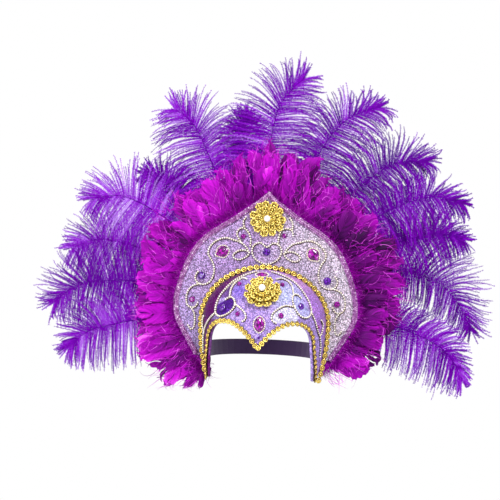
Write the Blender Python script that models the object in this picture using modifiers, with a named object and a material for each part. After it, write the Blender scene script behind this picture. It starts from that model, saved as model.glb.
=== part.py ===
# Carnival feather headdress: a glitter cap and back panel with braid, brooches, stones and bead scrolls,
# a goose-feather ruff and a fan of ostrich plumes. Metres, +Z up, the front faces -Y.
# The origin is the centre of the head hollow, level with the tops of the brow arcs.
import math

import bmesh
import bpy
from mathutils import Matrix, Vector

# Fit between pieces
clearance = 0.0003
cap_seat_gap = 0.0008

# Front cap, measured from the hat line at z = 0
cap_half_width = 0.0865
cap_height = 0.0735
cap_drop = 0.078
cap_depth = 0.085
cap_wall = 0.003
leg_narrowing = 0.12

# Back panel, which stands out round the cap by its border
panel_border = 0.043
panel_half_width = cap_half_width + panel_border
panel_height = 0.183
panel_drop = 0.050
panel_front = -0.015
panel_sweep = 0.012
panel_wall = 0.003

# Head band
band_reach = 0.100
band_top = -0.030
band_width = 0.022
band_wall = 0.002
band_gap = 0.0007
band_lap = 0.985
band_lap_share = 0.06

# Braid, edging and bead strings
braid_radius = 0.0032
braid_waist = 0.80
braid_bump = 0.0128
brow_braid_inset = 0.0022
trim_radius = 0.0032
trim_pitch = 0.014
bead_radius = 0.0011
bead_step = 0.0075

# Brooches
upper_brooch_radius = 0.0238
upper_brooch_rise = 0.1420
front_brooch_radius = 0.0240
front_brooch_share = 0.5
brooch_height = 0.009
petal_count = 9
petal_depth = 0.10
pearl_radius = 0.0046

# Stones
stone_height = 0.0034
stone_facets = 8
setting_width = 0.0024
setting_height = 0.0014
table_inset = 0.38

# Feathers, fanned about a centre above the origin
fan_rise = 0.031
ruff_root = 0.106
ruff_wall = 0.004
ruff_sections = 5
ruff_start = -50.0
ruff_end = 234.0
ruff_joint = 0.8
ruff_tooth = 0.07
ruff_side_room = 0.003
quill_root = 0.108
quill_width = 0.0032
quill_seat_gap = 0.0007
vane_start = 0.152
vane_wall = 0.003
vane_tooth = 0.13
vane_camber = 0.004
layer_pitch = 0.0095
fan_lean = 0.14
tip_curl = 0.014
fan_reach = 0.336
vane_half_width = 0.062
plume_tip_share = 0.22
bend_power = 2.5
look_ahead = 0.001

# Half outline of the back panel from the peak down to the foot.
# across: share of panel_half_width; up: share of panel_height + panel_drop, from the foot
panel_outline = [
    {"along": 0.00, "across": 0.000, "up": 1.000},
    {"along": 0.05, "across": 0.100, "up": 0.946},
    {"along": 0.11, "across": 0.216, "up": 0.901},
    {"along": 0.18, "across": 0.340, "up": 0.852},
    {"along": 0.26, "across": 0.494, "up": 0.796},
    {"along": 0.35, "across": 0.660, "up": 0.734},
    {"along": 0.44, "across": 0.790, "up": 0.656},
    {"along": 0.54, "across": 0.885, "up": 0.560},
    {"along": 0.64, "across": 0.958, "up": 0.445},
    {"along": 0.74, "across": 1.000, "up": 0.328},
    {"along": 0.83, "across": 0.982, "up": 0.225},
    {"along": 0.91, "across": 0.895, "up": 0.132},
    {"along": 1.00, "across": 0.745, "up": 0.000},
]

# Half of the cap's brow edge from the centre point to the end of the temple leg.
# across: share of cap_half_width; up: share of cap_drop
brow_edge = [
    {"along": 0.00, "across": 0.000, "up": -0.440},
    {"along": 0.12, "across": 0.125, "up": -0.250},
    {"along": 0.24, "across": 0.255, "up": -0.105},
    {"along": 0.35, "across": 0.385, "up": -0.010},
    {"along": 0.45, "across": 0.515, "up": 0.020},
    {"along": 0.55, "across": 0.640, "up": 0.000},
    {"along": 0.64, "across": 0.735, "up": -0.085},
    {"along": 0.71, "across": 0.790, "up": -0.230},
    {"along": 0.79, "across": 0.810, "up": -0.450},
    {"along": 0.89, "across": 0.832, "up": -0.700},
    {"along": 1.00, "across": 0.835, "up": -1.000},
]

# Outer edge of the ruff. at: degrees round the fan; reach: share of fan_reach
ruff_edge = [
    {"at": -50.0, "reach": 0.460},
    {"at": -34.0, "reach": 0.490},
    {"at": -16.0, "reach": 0.515},
    {"at": 2.0, "reach": 0.570},
    {"at": 28.0, "reach": 0.575},
    {"at": 60.0, "reach": 0.545},
    {"at": 82.0, "reach": 0.610},
    {"at": 94.0, "reach": 0.640},
    {"at": 108.0, "reach": 0.575},
    {"at": 126.0, "reach": 0.555},
    {"at": 142.0, "reach": 0.605},
    {"at": 165.0, "reach": 0.530},
    {"at": 192.0, "reach": 0.570},
    {"at": 223.0, "reach": 0.570},
    {"at": 234.0, "reach": 0.480},
]

# Plumes. at: degrees at the quill; bend: degrees added at the tip; reach: share of fan_reach;
# width: share of vane_half_width; layer: 0 is the nearest to the panel
plumes = [
    {"name": "plume_01", "at": -9.0, "bend": -10.5, "reach": 0.940, "width": 0.72, "layer": 1},
    {"name": "plume_02", "at": 17.5, "bend": -26.0, "reach": 0.920, "width": 0.80, "layer": 3},
    {"name": "plume_03", "at": 26.5, "bend": -5.5, "reach": 0.915, "width": 0.70, "layer": 2},
    {"name": "plume_04", "at": 40.0, "bend": -11.0, "reach": 0.975, "width": 0.72, "layer": 1},
    {"name": "plume_05", "at": 54.5, "bend": -10.5, "reach": 0.945, "width": 0.85, "layer": 3},
    {"name": "plume_06", "at": 74.5, "bend": -12.0, "reach": 1.000, "width": 0.86, "layer": 2},
    {"name": "plume_07", "at": 92.0, "bend": -8.0, "reach": 0.995, "width": 1.00, "layer": 0},
    {"name": "plume_08", "at": 104.0, "bend": -3.0, "reach": 0.830, "width": 0.60, "layer": 3},
    {"name": "plume_09", "at": 114.0, "bend": 1.5, "reach": 0.955, "width": 0.98, "layer": 1},
    {"name": "plume_10", "at": 132.0, "bend": 3.0, "reach": 0.800, "width": 0.60, "layer": 3},
    {"name": "plume_11", "at": 143.0, "bend": 8.5, "reach": 0.925, "width": 0.92, "layer": 0},
    {"name": "plume_12", "at": 160.0, "bend": 6.0, "reach": 0.940, "width": 0.85, "layer": 2},
    {"name": "plume_13", "at": 174.0, "bend": 8.0, "reach": 1.000, "width": 0.80, "layer": 1},
    {"name": "plume_14", "at": 191.0, "bend": 2.5, "reach": 0.945, "width": 0.78, "layer": 0},
]

# Stones. across, up: shares of the half width and the height of the piece that they lie on;
# half_wide, half_tall: size; setting: with a bead rim
stones = [
    {"name": "stone_heart", "on": "panel", "across": 0.000, "up": 0.536,
     "half_wide": 0.0048, "half_tall": 0.0048, "taper": 0.0, "setting": False, "hue": "violet"},
    {"name": "stone_drop_left", "on": "panel", "across": -0.479, "up": 0.527,
     "half_wide": 0.0062, "half_tall": 0.0080, "taper": 0.5, "setting": True, "hue": "magenta"},
    {"name": "stone_drop_right", "on": "panel", "across": 0.514, "up": 0.527,
     "half_wide": 0.0062, "half_tall": 0.0080, "taper": 0.5, "setting": True, "hue": "magenta"},
    {"name": "stone_loop_left", "on": "panel", "across": -0.259, "up": 0.648,
     "half_wide": 0.0034, "half_tall": 0.0034, "taper": 0.0, "setting": False, "hue": "magenta"},
    {"name": "stone_loop_right", "on": "panel", "across": 0.197, "up": 0.664,
     "half_wide": 0.0034, "half_tall": 0.0034, "taper": 0.0, "setting": False, "hue": "magenta"},
    {"name": "stone_hook_left", "on": "panel", "across": -0.683, "up": 0.336,
     "half_wide": 0.0048, "half_tall": 0.0048, "taper": 0.0, "setting": False, "hue": "violet"},
    {"name": "stone_hook_right", "on": "panel", "across": 0.664, "up": 0.331,
     "half_wide": 0.0050, "half_tall": 0.0050, "taper": 0.0, "setting": False, "hue": "violet"},
    {"name": "stone_side_left", "on": "panel", "across": -0.799, "up": 0.150,
     "half_wide": 0.0038, "half_tall": 0.0038, "taper": 0.0, "setting": False, "hue": "magenta"},
    {"name": "stone_side_right", "on": "panel", "across": 0.795, "up": 0.156,
     "half_wide": 0.0040, "half_tall": 0.0040, "taper": 0.0, "setting": False, "hue": "magenta"},
    {"name": "stone_top_oval", "on": "cap", "across": 0.000, "up": 0.891,
     "half_wide": 0.0056, "half_tall": 0.0046, "taper": 0.0, "setting": True, "hue": "magenta"},
    {"name": "stone_brow_oval", "on": "cap", "across": 0.012, "up": -0.020,
     "half_wide": 0.0054, "half_tall": 0.0082, "taper": 0.0, "setting": True, "hue": "magenta"},
    {"name": "stone_brow_tiny", "on": "cap", "across": 0.012, "up": -0.238,
     "half_wide": 0.0018, "half_tall": 0.0018, "taper": 0.0, "setting": False, "hue": "violet"},
    {"name": "stone_high_left", "on": "cap", "across": -0.358, "up": 0.714,
     "half_wide": 0.0030, "half_tall": 0.0030, "taper": 0.0, "setting": False, "hue": "magenta"},
    {"name": "stone_high_right", "on": "cap", "across": 0.341, "up": 0.728,
     "half_wide": 0.0030, "half_tall": 0.0030, "taper": 0.0, "setting": False, "hue": "magenta"},
    {"name": "stone_field_left", "on": "cap", "across": -0.607, "up": 0.245,
     "half_wide": 0.0042, "half_tall": 0.0042, "taper": 0.0, "setting": False, "hue": "violet"},
    {"name": "stone_field_right", "on": "cap", "across": 0.653, "up": 0.327,
     "half_wide": 0.0042, "half_tall": 0.0042, "taper": 0.0, "setting": False, "hue": "violet"},
    {"name": "stone_lobe_left", "on": "cap", "across": -0.335, "up": 0.150,
     "half_wide": 0.0030, "half_tall": 0.0030, "taper": 0.0, "setting": False, "hue": "magenta"},
    {"name": "stone_lobe_right", "on": "cap", "across": 0.353, "up": 0.150,
     "half_wide": 0.0036, "half_tall": 0.0036, "taper": 0.0, "setting": False, "hue": "magenta"},
    {"name": "stone_temple", "on": "cap", "across": 0.908, "up": -0.027,
     "half_wide": 0.0017, "half_tall": 0.0026, "taper": 0.0, "setting": False, "hue": "magenta"},
]

# Routes of the bead strings, seen from the front, as shares of the half width and the height of the
# panel or the cap. The routes of side_scroll are for the right side and are mirrored for the left.
side_scroll = {
    "leaf": [(0.189, 0.527), (0.239, 0.544), (0.309, 0.538), (0.359, 0.511), (0.355, 0.484),
             (0.297, 0.470), (0.224, 0.492)],
    "main": [(0.189, 0.527), (0.224, 0.568), (0.278, 0.601), (0.363, 0.620), (0.456, 0.634),
             (0.556, 0.609), (0.625, 0.557), (0.637, 0.503), (0.598, 0.459), (0.568, 0.404),
             (0.571, 0.350), (0.602, 0.298), (0.660, 0.273), (0.722, 0.273), (0.764, 0.298),
             (0.772, 0.336), (0.745, 0.366)],
    "hook": [(0.722, 0.273), (0.795, 0.257), (0.846, 0.219), (0.865, 0.164), (0.853, 0.112),
             (0.811, 0.090), (0.761, 0.096), (0.734, 0.128)],
    "tail": [(0.811, 0.090), (0.772, 0.049), (0.761, -0.005), (0.768, -0.060), (0.803, -0.077),
             (0.834, -0.049)],
}
left_extra = {
    "loop": [(-0.278, 0.601), (-0.332, 0.667), (-0.297, 0.710), (-0.247, 0.710), (-0.201, 0.675),
             (-0.178, 0.628), (-0.181, 0.579)],
    "line": [(-0.247, 0.710), (-0.266, 0.760), (-0.239, 0.798)],
}
heart_scroll = {
    "heart": [(0.000, 0.574), (0.062, 0.604), (0.120, 0.598), (0.154, 0.568), (0.158, 0.530),
              (0.131, 0.489), (0.077, 0.459), (0.000, 0.443), (-0.077, 0.459), (-0.131, 0.489),
              (-0.158, 0.530), (-0.154, 0.568), (-0.120, 0.598), (-0.062, 0.604)],
    "loop": [(0.120, 0.598), (0.127, 0.656), (0.154, 0.705), (0.212, 0.721), (0.266, 0.705),
             (0.278, 0.669)],
    "line": [(0.266, 0.705), (0.270, 0.760), (0.239, 0.801)],
}
cap_scroll_right = {
    "arch": [(0.121, 0.946), (0.208, 0.925), (0.335, 0.871), (0.451, 0.803), (0.555, 0.707),
             (0.636, 0.599), (0.711, 0.476), (0.757, 0.354), (0.775, 0.245), (0.740, 0.163),
             (0.659, 0.156), (0.590, 0.218), (0.526, 0.340), (0.486, 0.463), (0.497, 0.551),
             (0.555, 0.558), (0.613, 0.497)],
    "second": [(0.220, 0.823), (0.301, 0.837), (0.393, 0.789), (0.462, 0.694), (0.497, 0.551)],
    "lobe": [(0.526, 0.340), (0.393, 0.361), (0.277, 0.293), (0.202, 0.204), (0.202, 0.095),
             (0.266, 0.048)],
    "slim": [(0.775, 0.245), (0.838, 0.082), (0.884, -0.109), (0.913, -0.190), (0.942, -0.109),
             (0.950, 0.014), (0.925, 0.095)],
    "tail": [(0.913, -0.190), (0.925, -0.327), (0.925, -0.463), (0.919, -0.585)],
}
cap_scroll_left = {
    "arch": [(-0.121, 0.946), (-0.208, 0.912), (-0.358, 0.837), (-0.486, 0.728), (-0.584, 0.599),
             (-0.665, 0.456), (-0.705, 0.313), (-0.705, 0.177), (-0.636, 0.116), (-0.532, 0.150),
             (-0.428, 0.245), (-0.387, 0.354), (-0.422, 0.449), (-0.486, 0.469), (-0.549, 0.422)],
    "second": [(-0.249, 0.803), (-0.324, 0.816), (-0.422, 0.735), (-0.480, 0.612), (-0.486, 0.469)],
    "hook": [(-0.387, 0.354), (-0.289, 0.279), (-0.220, 0.204), (-0.202, 0.109), (-0.249, 0.054)],
    "tail": [(-0.705, 0.177), (-0.798, 0.068), (-0.873, -0.068), (-0.913, -0.218), (-0.925, -0.381),
             (-0.919, -0.585)],
}
closed_routes = ("leaf", "heart")


def clear_scene():
    for old in list(bpy.data.objects):
        bpy.data.objects.remove(old)


def new_collection(name):
    made = bpy.data.collections.new(name)
    bpy.context.scene.collection.children.link(made)
    return made


def new_material(name, colour, roughness, metallic):
    made = bpy.data.materials.new(name)
    made.use_nodes = True
    shader = made.node_tree.nodes["Principled BSDF"]
    shader.inputs["Base Color"].default_value = (*colour, 1.0)
    shader.inputs["Roughness"].default_value = roughness
    shader.inputs["Metallic"].default_value = metallic
    return made


def add(name, data, material):
    piece = bpy.data.objects.new(name, data)
    data.materials.append(material)
    headdress.objects.link(piece)
    return piece


def sheet(name, columns, rows, place, wall, material):
    """A grid bent by place(across, up), both 0 to 1, with its wall behind the grid."""
    grid = bmesh.new()
    bmesh.ops.create_grid(grid, x_segments=columns, y_segments=rows, size=0.5)
    for vert in grid.verts:
        vert.co = place(vert.co.x + 0.5, vert.co.y + 0.5)
    mesh = bpy.data.meshes.new(name)
    grid.to_mesh(mesh)
    grid.free()
    piece = add(name, mesh, material)
    shell = piece.modifiers.new("wall", "SOLIDIFY")
    shell.thickness = wall
    shell.offset = -1.0
    return piece


def tube(name, points, radius, material, closed=False, waists=None, rounding=2):
    """A round tube through the points; waists holds a share of the radius for each point."""
    curve = bpy.data.curves.new(name, "CURVE")
    curve.dimensions = "3D"
    curve.bevel_depth = radius
    curve.bevel_resolution = rounding
    curve.use_fill_caps = True
    spline = curve.splines.new("POLY")
    spline.points.add(len(points) - 1)
    spline.use_cyclic_u = closed
    for index, point in enumerate(points):
        spline.points[index].co = (*point, 1.0)
        if waists:
            spline.points[index].radius = waists[index]
    return add(name, curve, material)


def hermite(before, start, end, after, t):
    """A smooth step from start to end at t, 0 to 1, with slopes taken from the neighbours."""
    slope_in = (end - before) / 2.0
    slope_out = (after - start) / 2.0
    t2 = t * t
    t3 = t2 * t
    return ((2 * t3 - 3 * t2 + 1) * start + (t3 - 2 * t2 + t) * slope_in
            + (3 * t2 - 2 * t3) * end + (t3 - t2) * slope_out)


def table_value(table, key, column, at):
    """A column of a table, read smoothly at a value of its key."""
    last = len(table) - 2
    row = 0
    while row < last and table[row + 1][key] < at:
        row += 1
    start = table[row]
    end = table[row + 1]
    t = (at - start[key]) / (end[key] - start[key])
    t = min(max(t, 0.0), 1.0)
    before = table[row - 1] if row else start
    after = table[row + 2] if row < last else end
    return hermite(before[column], start[column], end[column], after[column], t)


def smooth_route(points, step, closed):
    """Points about one step apart on a smooth curve through a route."""
    route = [Vector(point) for point in points]
    count = len(route)
    spans = count if closed else count - 1
    found = []
    for span in range(spans):
        if closed:
            four = [route[(span + shift) % count] for shift in (-1, 0, 1, 2)]
        else:
            four = [route[min(max(span + shift, 0), count - 1)] for shift in (-1, 0, 1, 2)]
        pieces = max(1, round((four[2] - four[1]).length / step))
        found += [hermite(*four, index / pieces) for index in range(pieces)]
    if not closed:
        found.append(route[-1])
    return found


def even_points(path, pitch):
    """Points evenly spaced along path(share), share 0 to 1, about one pitch apart."""
    fine = 400
    samples = [path(index / fine) for index in range(fine + 1)]
    lengths = [0.0]
    for index in range(fine):
        lengths.append(lengths[-1] + (samples[index + 1] - samples[index]).length)
    count = max(2, round(lengths[-1] / pitch))
    points = []
    at = 0
    for index in range(count + 1):
        wanted = lengths[-1] * index / count
        while at < fine - 1 and lengths[at + 1] < wanted:
            at += 1
        share = (wanted - lengths[at]) / (lengths[at + 1] - lengths[at])
        points.append(samples[at].lerp(samples[at + 1], share))
    return points


def panel_y(x):
    """The front face of the back panel, swept back towards its sides."""
    share = min(abs(x) / panel_half_width, 1.0)
    return panel_front + panel_sweep * share * share


def panel_normal(x):
    """The outward direction of the panel's front face."""
    return Vector((2.0 * panel_sweep * x / panel_half_width ** 2, -1.0, 0.0)).normalized()


def arch_half_width(z):
    """Half the width of the cap's rear rim at a height."""
    if z < 0.0:
        return cap_half_width * (1.0 - leg_narrowing * (z / cap_drop) ** 2)
    return cap_half_width * math.sqrt(max(0.0, 1.0 - (z / cap_height) ** 2))


def arch_point(along, drop, grow=0.0):
    """x and z on the rear rim, from -1 at the left foot over the top to 1 at the right foot."""
    quarter = math.pi / 2.0 * math.hypot(cap_half_width, cap_height) / math.sqrt(2.0)
    spring = quarter / (quarter + drop)
    side = math.copysign(1.0, along)
    if abs(along) <= spring:
        angle = math.pi / 2.0 * along / spring
        return ((cap_half_width + grow) * math.sin(angle), (cap_height + grow) * math.cos(angle))
    z = -drop * (abs(along) - spring) / (1.0 - spring)
    return (side * (arch_half_width(z) + grow), z)


def panel_outline_point(along):
    """x and z on the panel's outline, from -1 at the left foot over the peak to 1 at the right foot."""
    share = abs(along)
    across = table_value(panel_outline, "along", "across", share) * panel_half_width
    up = table_value(panel_outline, "along", "up", share) * (panel_height + panel_drop)
    return (math.copysign(across, along), up - panel_drop)


def panel_place(across, up):
    """The panel's front face, from the arch at up = 0 to the outline at up = 1."""
    along = 2.0 * across - 1.0
    inner_x, inner_z = arch_point(along, panel_drop, -cap_wall)
    outer_x, outer_z = panel_outline_point(along)
    x = inner_x + (outer_x - inner_x) * up
    z = inner_z + (outer_z - inner_z) * up
    return Vector((x, panel_y(x), z))


def on_cap(x, z):
    """The point of the cap's outer surface seen from the front at x and z."""
    if z < 0.0:
        rim = abs(x) / arch_half_width(z)
    else:
        rim = math.hypot(x / cap_half_width, z / cap_height)
    depth = cap_depth * math.sqrt(max(0.0, 1.0 - rim * rim))
    return Vector((x, panel_y(x) - cap_seat_gap - depth, z))


def cap_normal(x, z):
    """The outward direction of the cap's surface at x and z."""
    step = 0.0002
    inward_x = x - math.copysign(step, x)
    inward_z = z - step
    here = on_cap(x, z)
    side = (on_cap(inward_x, z) - here) / (inward_x - x)
    rise = (on_cap(x, inward_z) - here) / (inward_z - z)
    return side.cross(rise).normalized()


def cap_place(across, up):
    """The cap's outer surface, from the brow edge at up = 0 to the rear rim at up = 1."""
    along = 2.0 * across - 1.0
    rim_x, rim_z = arch_point(along, cap_drop)
    brow_x = table_value(brow_edge, "along", "across", abs(along)) * cap_half_width
    brow_z = table_value(brow_edge, "along", "up", abs(along)) * cap_drop
    brow_x = math.copysign(brow_x, along)
    share = math.sin(math.pi / 2.0 * up)
    return on_cap(brow_x + (rim_x - brow_x) * share, brow_z + (rim_z - brow_z) * share)


def above_panel(x, z, height):
    """A point in front of the panel, at a height over its face."""
    return Vector((x, panel_y(x) - height, z))


def above_cap(x, z, height):
    """A point over the cap, at a height along its normal."""
    return on_cap(x, z) + cap_normal(x, z) * height


def make_cap():
    sheet("front_cap", 28, 8, cap_place, cap_wall, glitter_cap)


def make_panel():
    sheet("back_panel", 32, 3, panel_place, panel_wall, glitter_panel)


def make_head_band():
    """A band from inside one temple leg round the back of the head to the other."""
    inside = cap_wall + band_gap

    def place(across, up):
        z = band_top - band_width * up
        side = math.copysign(1.0, across - 0.5)
        from_end = min(across, 1.0 - across)
        if from_end < band_lap_share:
            rim = 1.0 - (1.0 - band_lap) * (1.0 - from_end / band_lap_share) ** 2
            x = side * rim * arch_half_width(z)
            return on_cap(x, z) - cap_normal(x, z) * inside
        turn = math.pi * (across - band_lap_share) / (1.0 - 2.0 * band_lap_share)
        half = arch_half_width(z) - inside
        front = on_cap(arch_half_width(z), z).y
        return Vector((-half * math.cos(turn), front + band_reach * math.sin(turn), z))

    sheet("head_band", 26, 1, place, band_wall, elastic)


def make_braids():
    def outer(share):
        x, z = arch_point(2.0 * share - 1.0, cap_drop, braid_radius + clearance)
        return above_panel(x, z, braid_radius + clearance)

    def brow(share):
        along = 2.0 * share - 1.0
        edge = cap_place(share, 0.0)
        rim = cap_place(share, 1.0)
        inset = brow_braid_inset / (Vector((rim.x - edge.x, 0.0, rim.z - edge.z)).length + brow_braid_inset)
        x = edge.x + (rim.x - edge.x) * inset
        z = edge.z + (rim.z - edge.z) * inset
        side = math.copysign(max(abs(x), 0.0005), along)
        return above_cap(side, z, braid_radius + clearance)

    for name, path in (("outer_braid", outer), ("brow_braid", brow)):
        points = even_points(path, braid_bump / 2.0)
        waists = [1.0 if index % 2 else braid_waist for index in range(len(points))]
        tube(name, points, braid_radius, gold_braid, waists=waists, rounding=1)


def make_edge_trim():
    def path(share):
        x, z = panel_outline_point(2.0 * share - 1.0)
        inner = panel_place(share, 0.0)
        outward = Vector((x - inner.x, 0.0, z - inner.z))
        inset = outward * (trim_radius / outward.length)
        return above_panel(x - inset.x, z - inset.z, trim_radius + clearance)

    tube("edge_trim", even_points(path, trim_pitch), trim_radius, bead_edging, rounding=1)


def seat_matrix(place, outward):
    """Local +Z points outward and local +Y points up the piece."""
    across = Vector((0.0, 0.0, 1.0)).cross(outward).normalized()
    up = outward.cross(across)
    turned = Matrix((across, up, outward)).transposed().to_4x4()
    return Matrix.Translation(place) @ turned


def make_brooch(name, pearl_name, place, outward, radius):
    """A two-tier flower with a round pearl at its centre."""
    tiers = [0.0, 0.35, 0.52, 0.84, 0.90]
    flower = bmesh.new()
    rings = 2 * len(tiers)
    bmesh.ops.create_uvsphere(flower, u_segments=2 * petal_count, v_segments=rings, radius=1.0)
    for vert in flower.verts:
        turn = math.atan2(vert.co.y, vert.co.x)
        reach = math.hypot(vert.co.x, vert.co.y)
        ring = round(math.degrees(math.asin(max(-1.0, min(1.0, vert.co.z)))) / (180.0 / rings))
        petal = 1.0 + petal_depth * math.cos(petal_count * turn)
        tier = tiers[min(max(ring + 1, 0), len(tiers) - 1)] if ring > -1 else 0.0
        vert.co.x = radius * petal * reach * math.cos(turn) / (1.0 + petal_depth)
        vert.co.y = radius * petal * reach * math.sin(turn) / (1.0 + petal_depth)
        vert.co.z = brooch_height * tier
    mesh = bpy.data.meshes.new(name)
    flower.to_mesh(mesh)
    flower.free()
    brooch = add(name, mesh, gold_metal)
    brooch.matrix_world = seat_matrix(place + outward * clearance, outward)
    pearl = bmesh.new()
    bmesh.ops.create_uvsphere(pearl, u_segments=12, v_segments=6, radius=pearl_radius)
    pearl_mesh = bpy.data.meshes.new(pearl_name)
    pearl.to_mesh(pearl_mesh)
    pearl.free()
    pearl_mesh.shade_smooth()
    lift = 2.0 * clearance + brooch_height * tiers[-1] + pearl_radius
    add(pearl_name, pearl_mesh, pearl_white).location = place + outward * lift


def make_brooches():
    upper = above_panel(0.0, upper_brooch_rise, 0.0)
    make_brooch("upper_brooch", "upper_pearl", upper, Vector((0.0, -1.0, 0.0)), upper_brooch_radius)
    front = cap_place(0.5, front_brooch_share)
    outward = cap_normal(front.x, front.z)
    make_brooch("front_brooch", "front_pearl", front, outward, front_brooch_radius)


def make_stone(row):
    """A cut stone: a girdle and a crown with a flat table, on a low setting where it has one."""
    if row["on"] == "panel":
        place = above_panel(row["across"] * panel_half_width, row["up"] * panel_height, 0.0)
        outward = panel_normal(place.x)
    else:
        place = on_cap(row["across"] * cap_half_width, row["up"] * cap_height)
        outward = cap_normal(place.x, place.z)
    gem = bmesh.new()
    base = row["half_wide"]
    bmesh.ops.create_cone(gem, cap_ends=True, segments=stone_facets, radius1=base, radius2=base,
                          depth=setting_height, matrix=Matrix.Translation((0.0, 0.0, setting_height / 2.0)))
    top = max(gem.faces, key=lambda face: face.calc_center_median().z)
    if row["setting"]:
        rim = 1.0 + setting_width / base
        for vert in gem.verts:
            vert.co.x *= rim
            vert.co.y *= rim
        bmesh.ops.inset_individual(gem, faces=[top], thickness=setting_width, depth=0.0)
    crown = stone_height - setting_height
    bmesh.ops.inset_individual(gem, faces=[top], thickness=base * table_inset, depth=crown)
    for vert in gem.verts:
        vert.co.y *= row["half_tall"] / row["half_wide"]
        reach = vert.co.y / row["half_tall"]
        vert.co.x *= 1.0 - row["taper"] * 0.5 * (1.0 - reach) * (reach < 0.5)
    mesh = bpy.data.meshes.new(row["name"])
    gem.to_mesh(mesh)
    gem.free()
    stone = add(row["name"], mesh, stone_hues[row["hue"]])
    stone.matrix_world = seat_matrix(place + outward * clearance, outward)


def as_mesh(curve_object):
    """A mesh object in the place of a curve, with its end caps welded on."""
    bpy.context.view_layer.update()
    ready = curve_object.evaluated_get(bpy.context.evaluated_depsgraph_get())
    mesh = bpy.data.meshes.new_from_object(ready)
    welded = bmesh.new()
    welded.from_mesh(mesh)
    bmesh.ops.remove_doubles(welded, verts=welded.verts, dist=0.00001)
    welded.to_mesh(mesh)
    welded.free()
    made = bpy.data.objects.new(curve_object.name, mesh)
    made.matrix_world = curve_object.matrix_world
    bpy.data.objects.remove(curve_object)
    return made


def bead_string(name, routes, half_width, height, above):
    """The strands of one scroll, laid on their piece and joined where they branch."""
    first = None
    for label, route in routes.items():
        closed = label in closed_routes
        corners = [(across * half_width, up * height) for across, up in route]
        flat = smooth_route(corners, bead_step, closed)
        points = [above(x, z, bead_radius + clearance) for x, z in flat]
        strand = as_mesh(tube(name + "_" + label, points, bead_radius, bead_pearl, closed))
        if first is None:
            first = strand
            first.name = name
            headdress.objects.link(first)
            continue
        cutters.objects.link(strand)
        strand.hide_render = True
        strand.display_type = "WIRE"
        joint = first.modifiers.new("join " + label, "BOOLEAN")
        joint.operation = "UNION"
        joint.object = strand


def make_scrolls():
    mirrored = {label: [(-across, up) for across, up in route] for label, route in side_scroll.items()}
    on_panel = (panel_half_width, panel_height, above_panel)
    on_crown = (cap_half_width, cap_height, above_cap)
    bead_string("scroll_panel_right", side_scroll, *on_panel)
    bead_string("scroll_panel_left", {**mirrored, **left_extra}, *on_panel)
    bead_string("scroll_heart", heart_scroll, *on_panel)
    bead_string("scroll_cap_right", cap_scroll_right, *on_crown)
    bead_string("scroll_cap_left", cap_scroll_left, *on_crown)


def fan_point(radius, degrees):
    """x and z at a radius and an angle round the centre of the fan."""
    angle = math.radians(degrees)
    return (radius * math.cos(angle), fan_rise + radius * math.sin(angle))


def behind_panel(x):
    """The back face of the panel, carried on straight beyond its edge."""
    beyond = max(0.0, abs(x) - panel_half_width)
    return panel_y(x) + panel_wall + 2.0 * panel_sweep / panel_half_width * beyond


def make_ruff():
    span = (ruff_end - ruff_start) / ruff_sections
    columns = 10
    for section in range(ruff_sections):
        first = ruff_start + span * section

        def place(across, up):
            at = first + ruff_joint + (span - 2.0 * ruff_joint) * (1.0 - across)
            tooth = ruff_tooth * (round(across * columns) % 2)
            outer = table_value(ruff_edge, "at", "reach", at) * fan_reach * (1.0 - tooth)
            lean = math.cos(math.radians(at))
            inner = ruff_root
            if math.sin(math.radians(at)) * ruff_root + fan_rise < 0.0:
                inner = max(ruff_root, (cap_half_width + ruff_side_room) / max(abs(lean), 0.01))
            x, z = fan_point(inner + (outer - inner) * up, at)
            return Vector((x, behind_panel(x) + clearance, z))

        sheet("ruff_%d" % (section + 1), columns, 3, place, ruff_wall, ruff_magenta)


def fan_depth(x, z, layer):
    """How far back a layer of the fan lies: on the ruff at the quills, then spread out, leaning and curled."""
    radius = math.hypot(x, z - fan_rise)
    ramp = min(max((radius - quill_root) / (vane_start - quill_root), 0.0), 1.0)
    spread = layer * layer_pitch * ramp * ramp * (3.0 - 2.0 * ramp)
    beyond = max(0.0, radius - vane_start)
    curl = tip_curl * (beyond / (fan_reach - vane_start)) ** 3
    seat = behind_panel(x) + clearance + ruff_wall + quill_seat_gap
    return seat + spread + fan_lean * beyond - curl


def make_plume(row):
    """A quill that widens into a serrated vane, in its own layer of the fan."""
    sections = 8
    half_width = vane_half_width * row["width"]
    tip = fan_reach * row["reach"]
    quill_share = (vane_start - quill_root) / (tip - quill_root)

    def place(across, up):
        radius = quill_root + (tip - quill_root) * up
        bend = row["bend"] * up ** bend_power
        x, z = fan_point(radius, row["at"] + bend)
        ahead_bend = row["bend"] * (up + look_ahead / (tip - quill_root)) ** bend_power
        ahead_x, ahead_z = fan_point(radius + look_ahead, row["at"] + ahead_bend)
        forward = Vector((ahead_x - x, 0.0, ahead_z - z)).normalized()
        sideways = Vector((forward.z, 0.0, -forward.x))
        inside = max(0.0, (up - quill_share) / (1.0 - quill_share))
        fullness = math.sqrt(max(0.0, 1.0 - (1.9 * inside - 0.95) ** 2)) if inside > 0.0 else 0.0
        tooth = 1.0 - vane_tooth * (round(up * sections) % 2)
        half = max(quill_width / 2.0, half_width * fullness * tooth)
        if up > 0.999:
            half = half_width * plume_tip_share
        offset = (2.0 * across - 1.0) * half
        place_x = x + sideways.x * offset
        place_z = z + sideways.z * offset
        camber = vane_camber * (offset / vane_half_width) ** 2
        return Vector((place_x, fan_depth(place_x, place_z, row["layer"]) + camber, place_z))

    sheet(row["name"], 4, sections, place, vane_wall, ostrich_violet)


def make_plumes():
    for row in plumes:
        make_plume(row)


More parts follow.
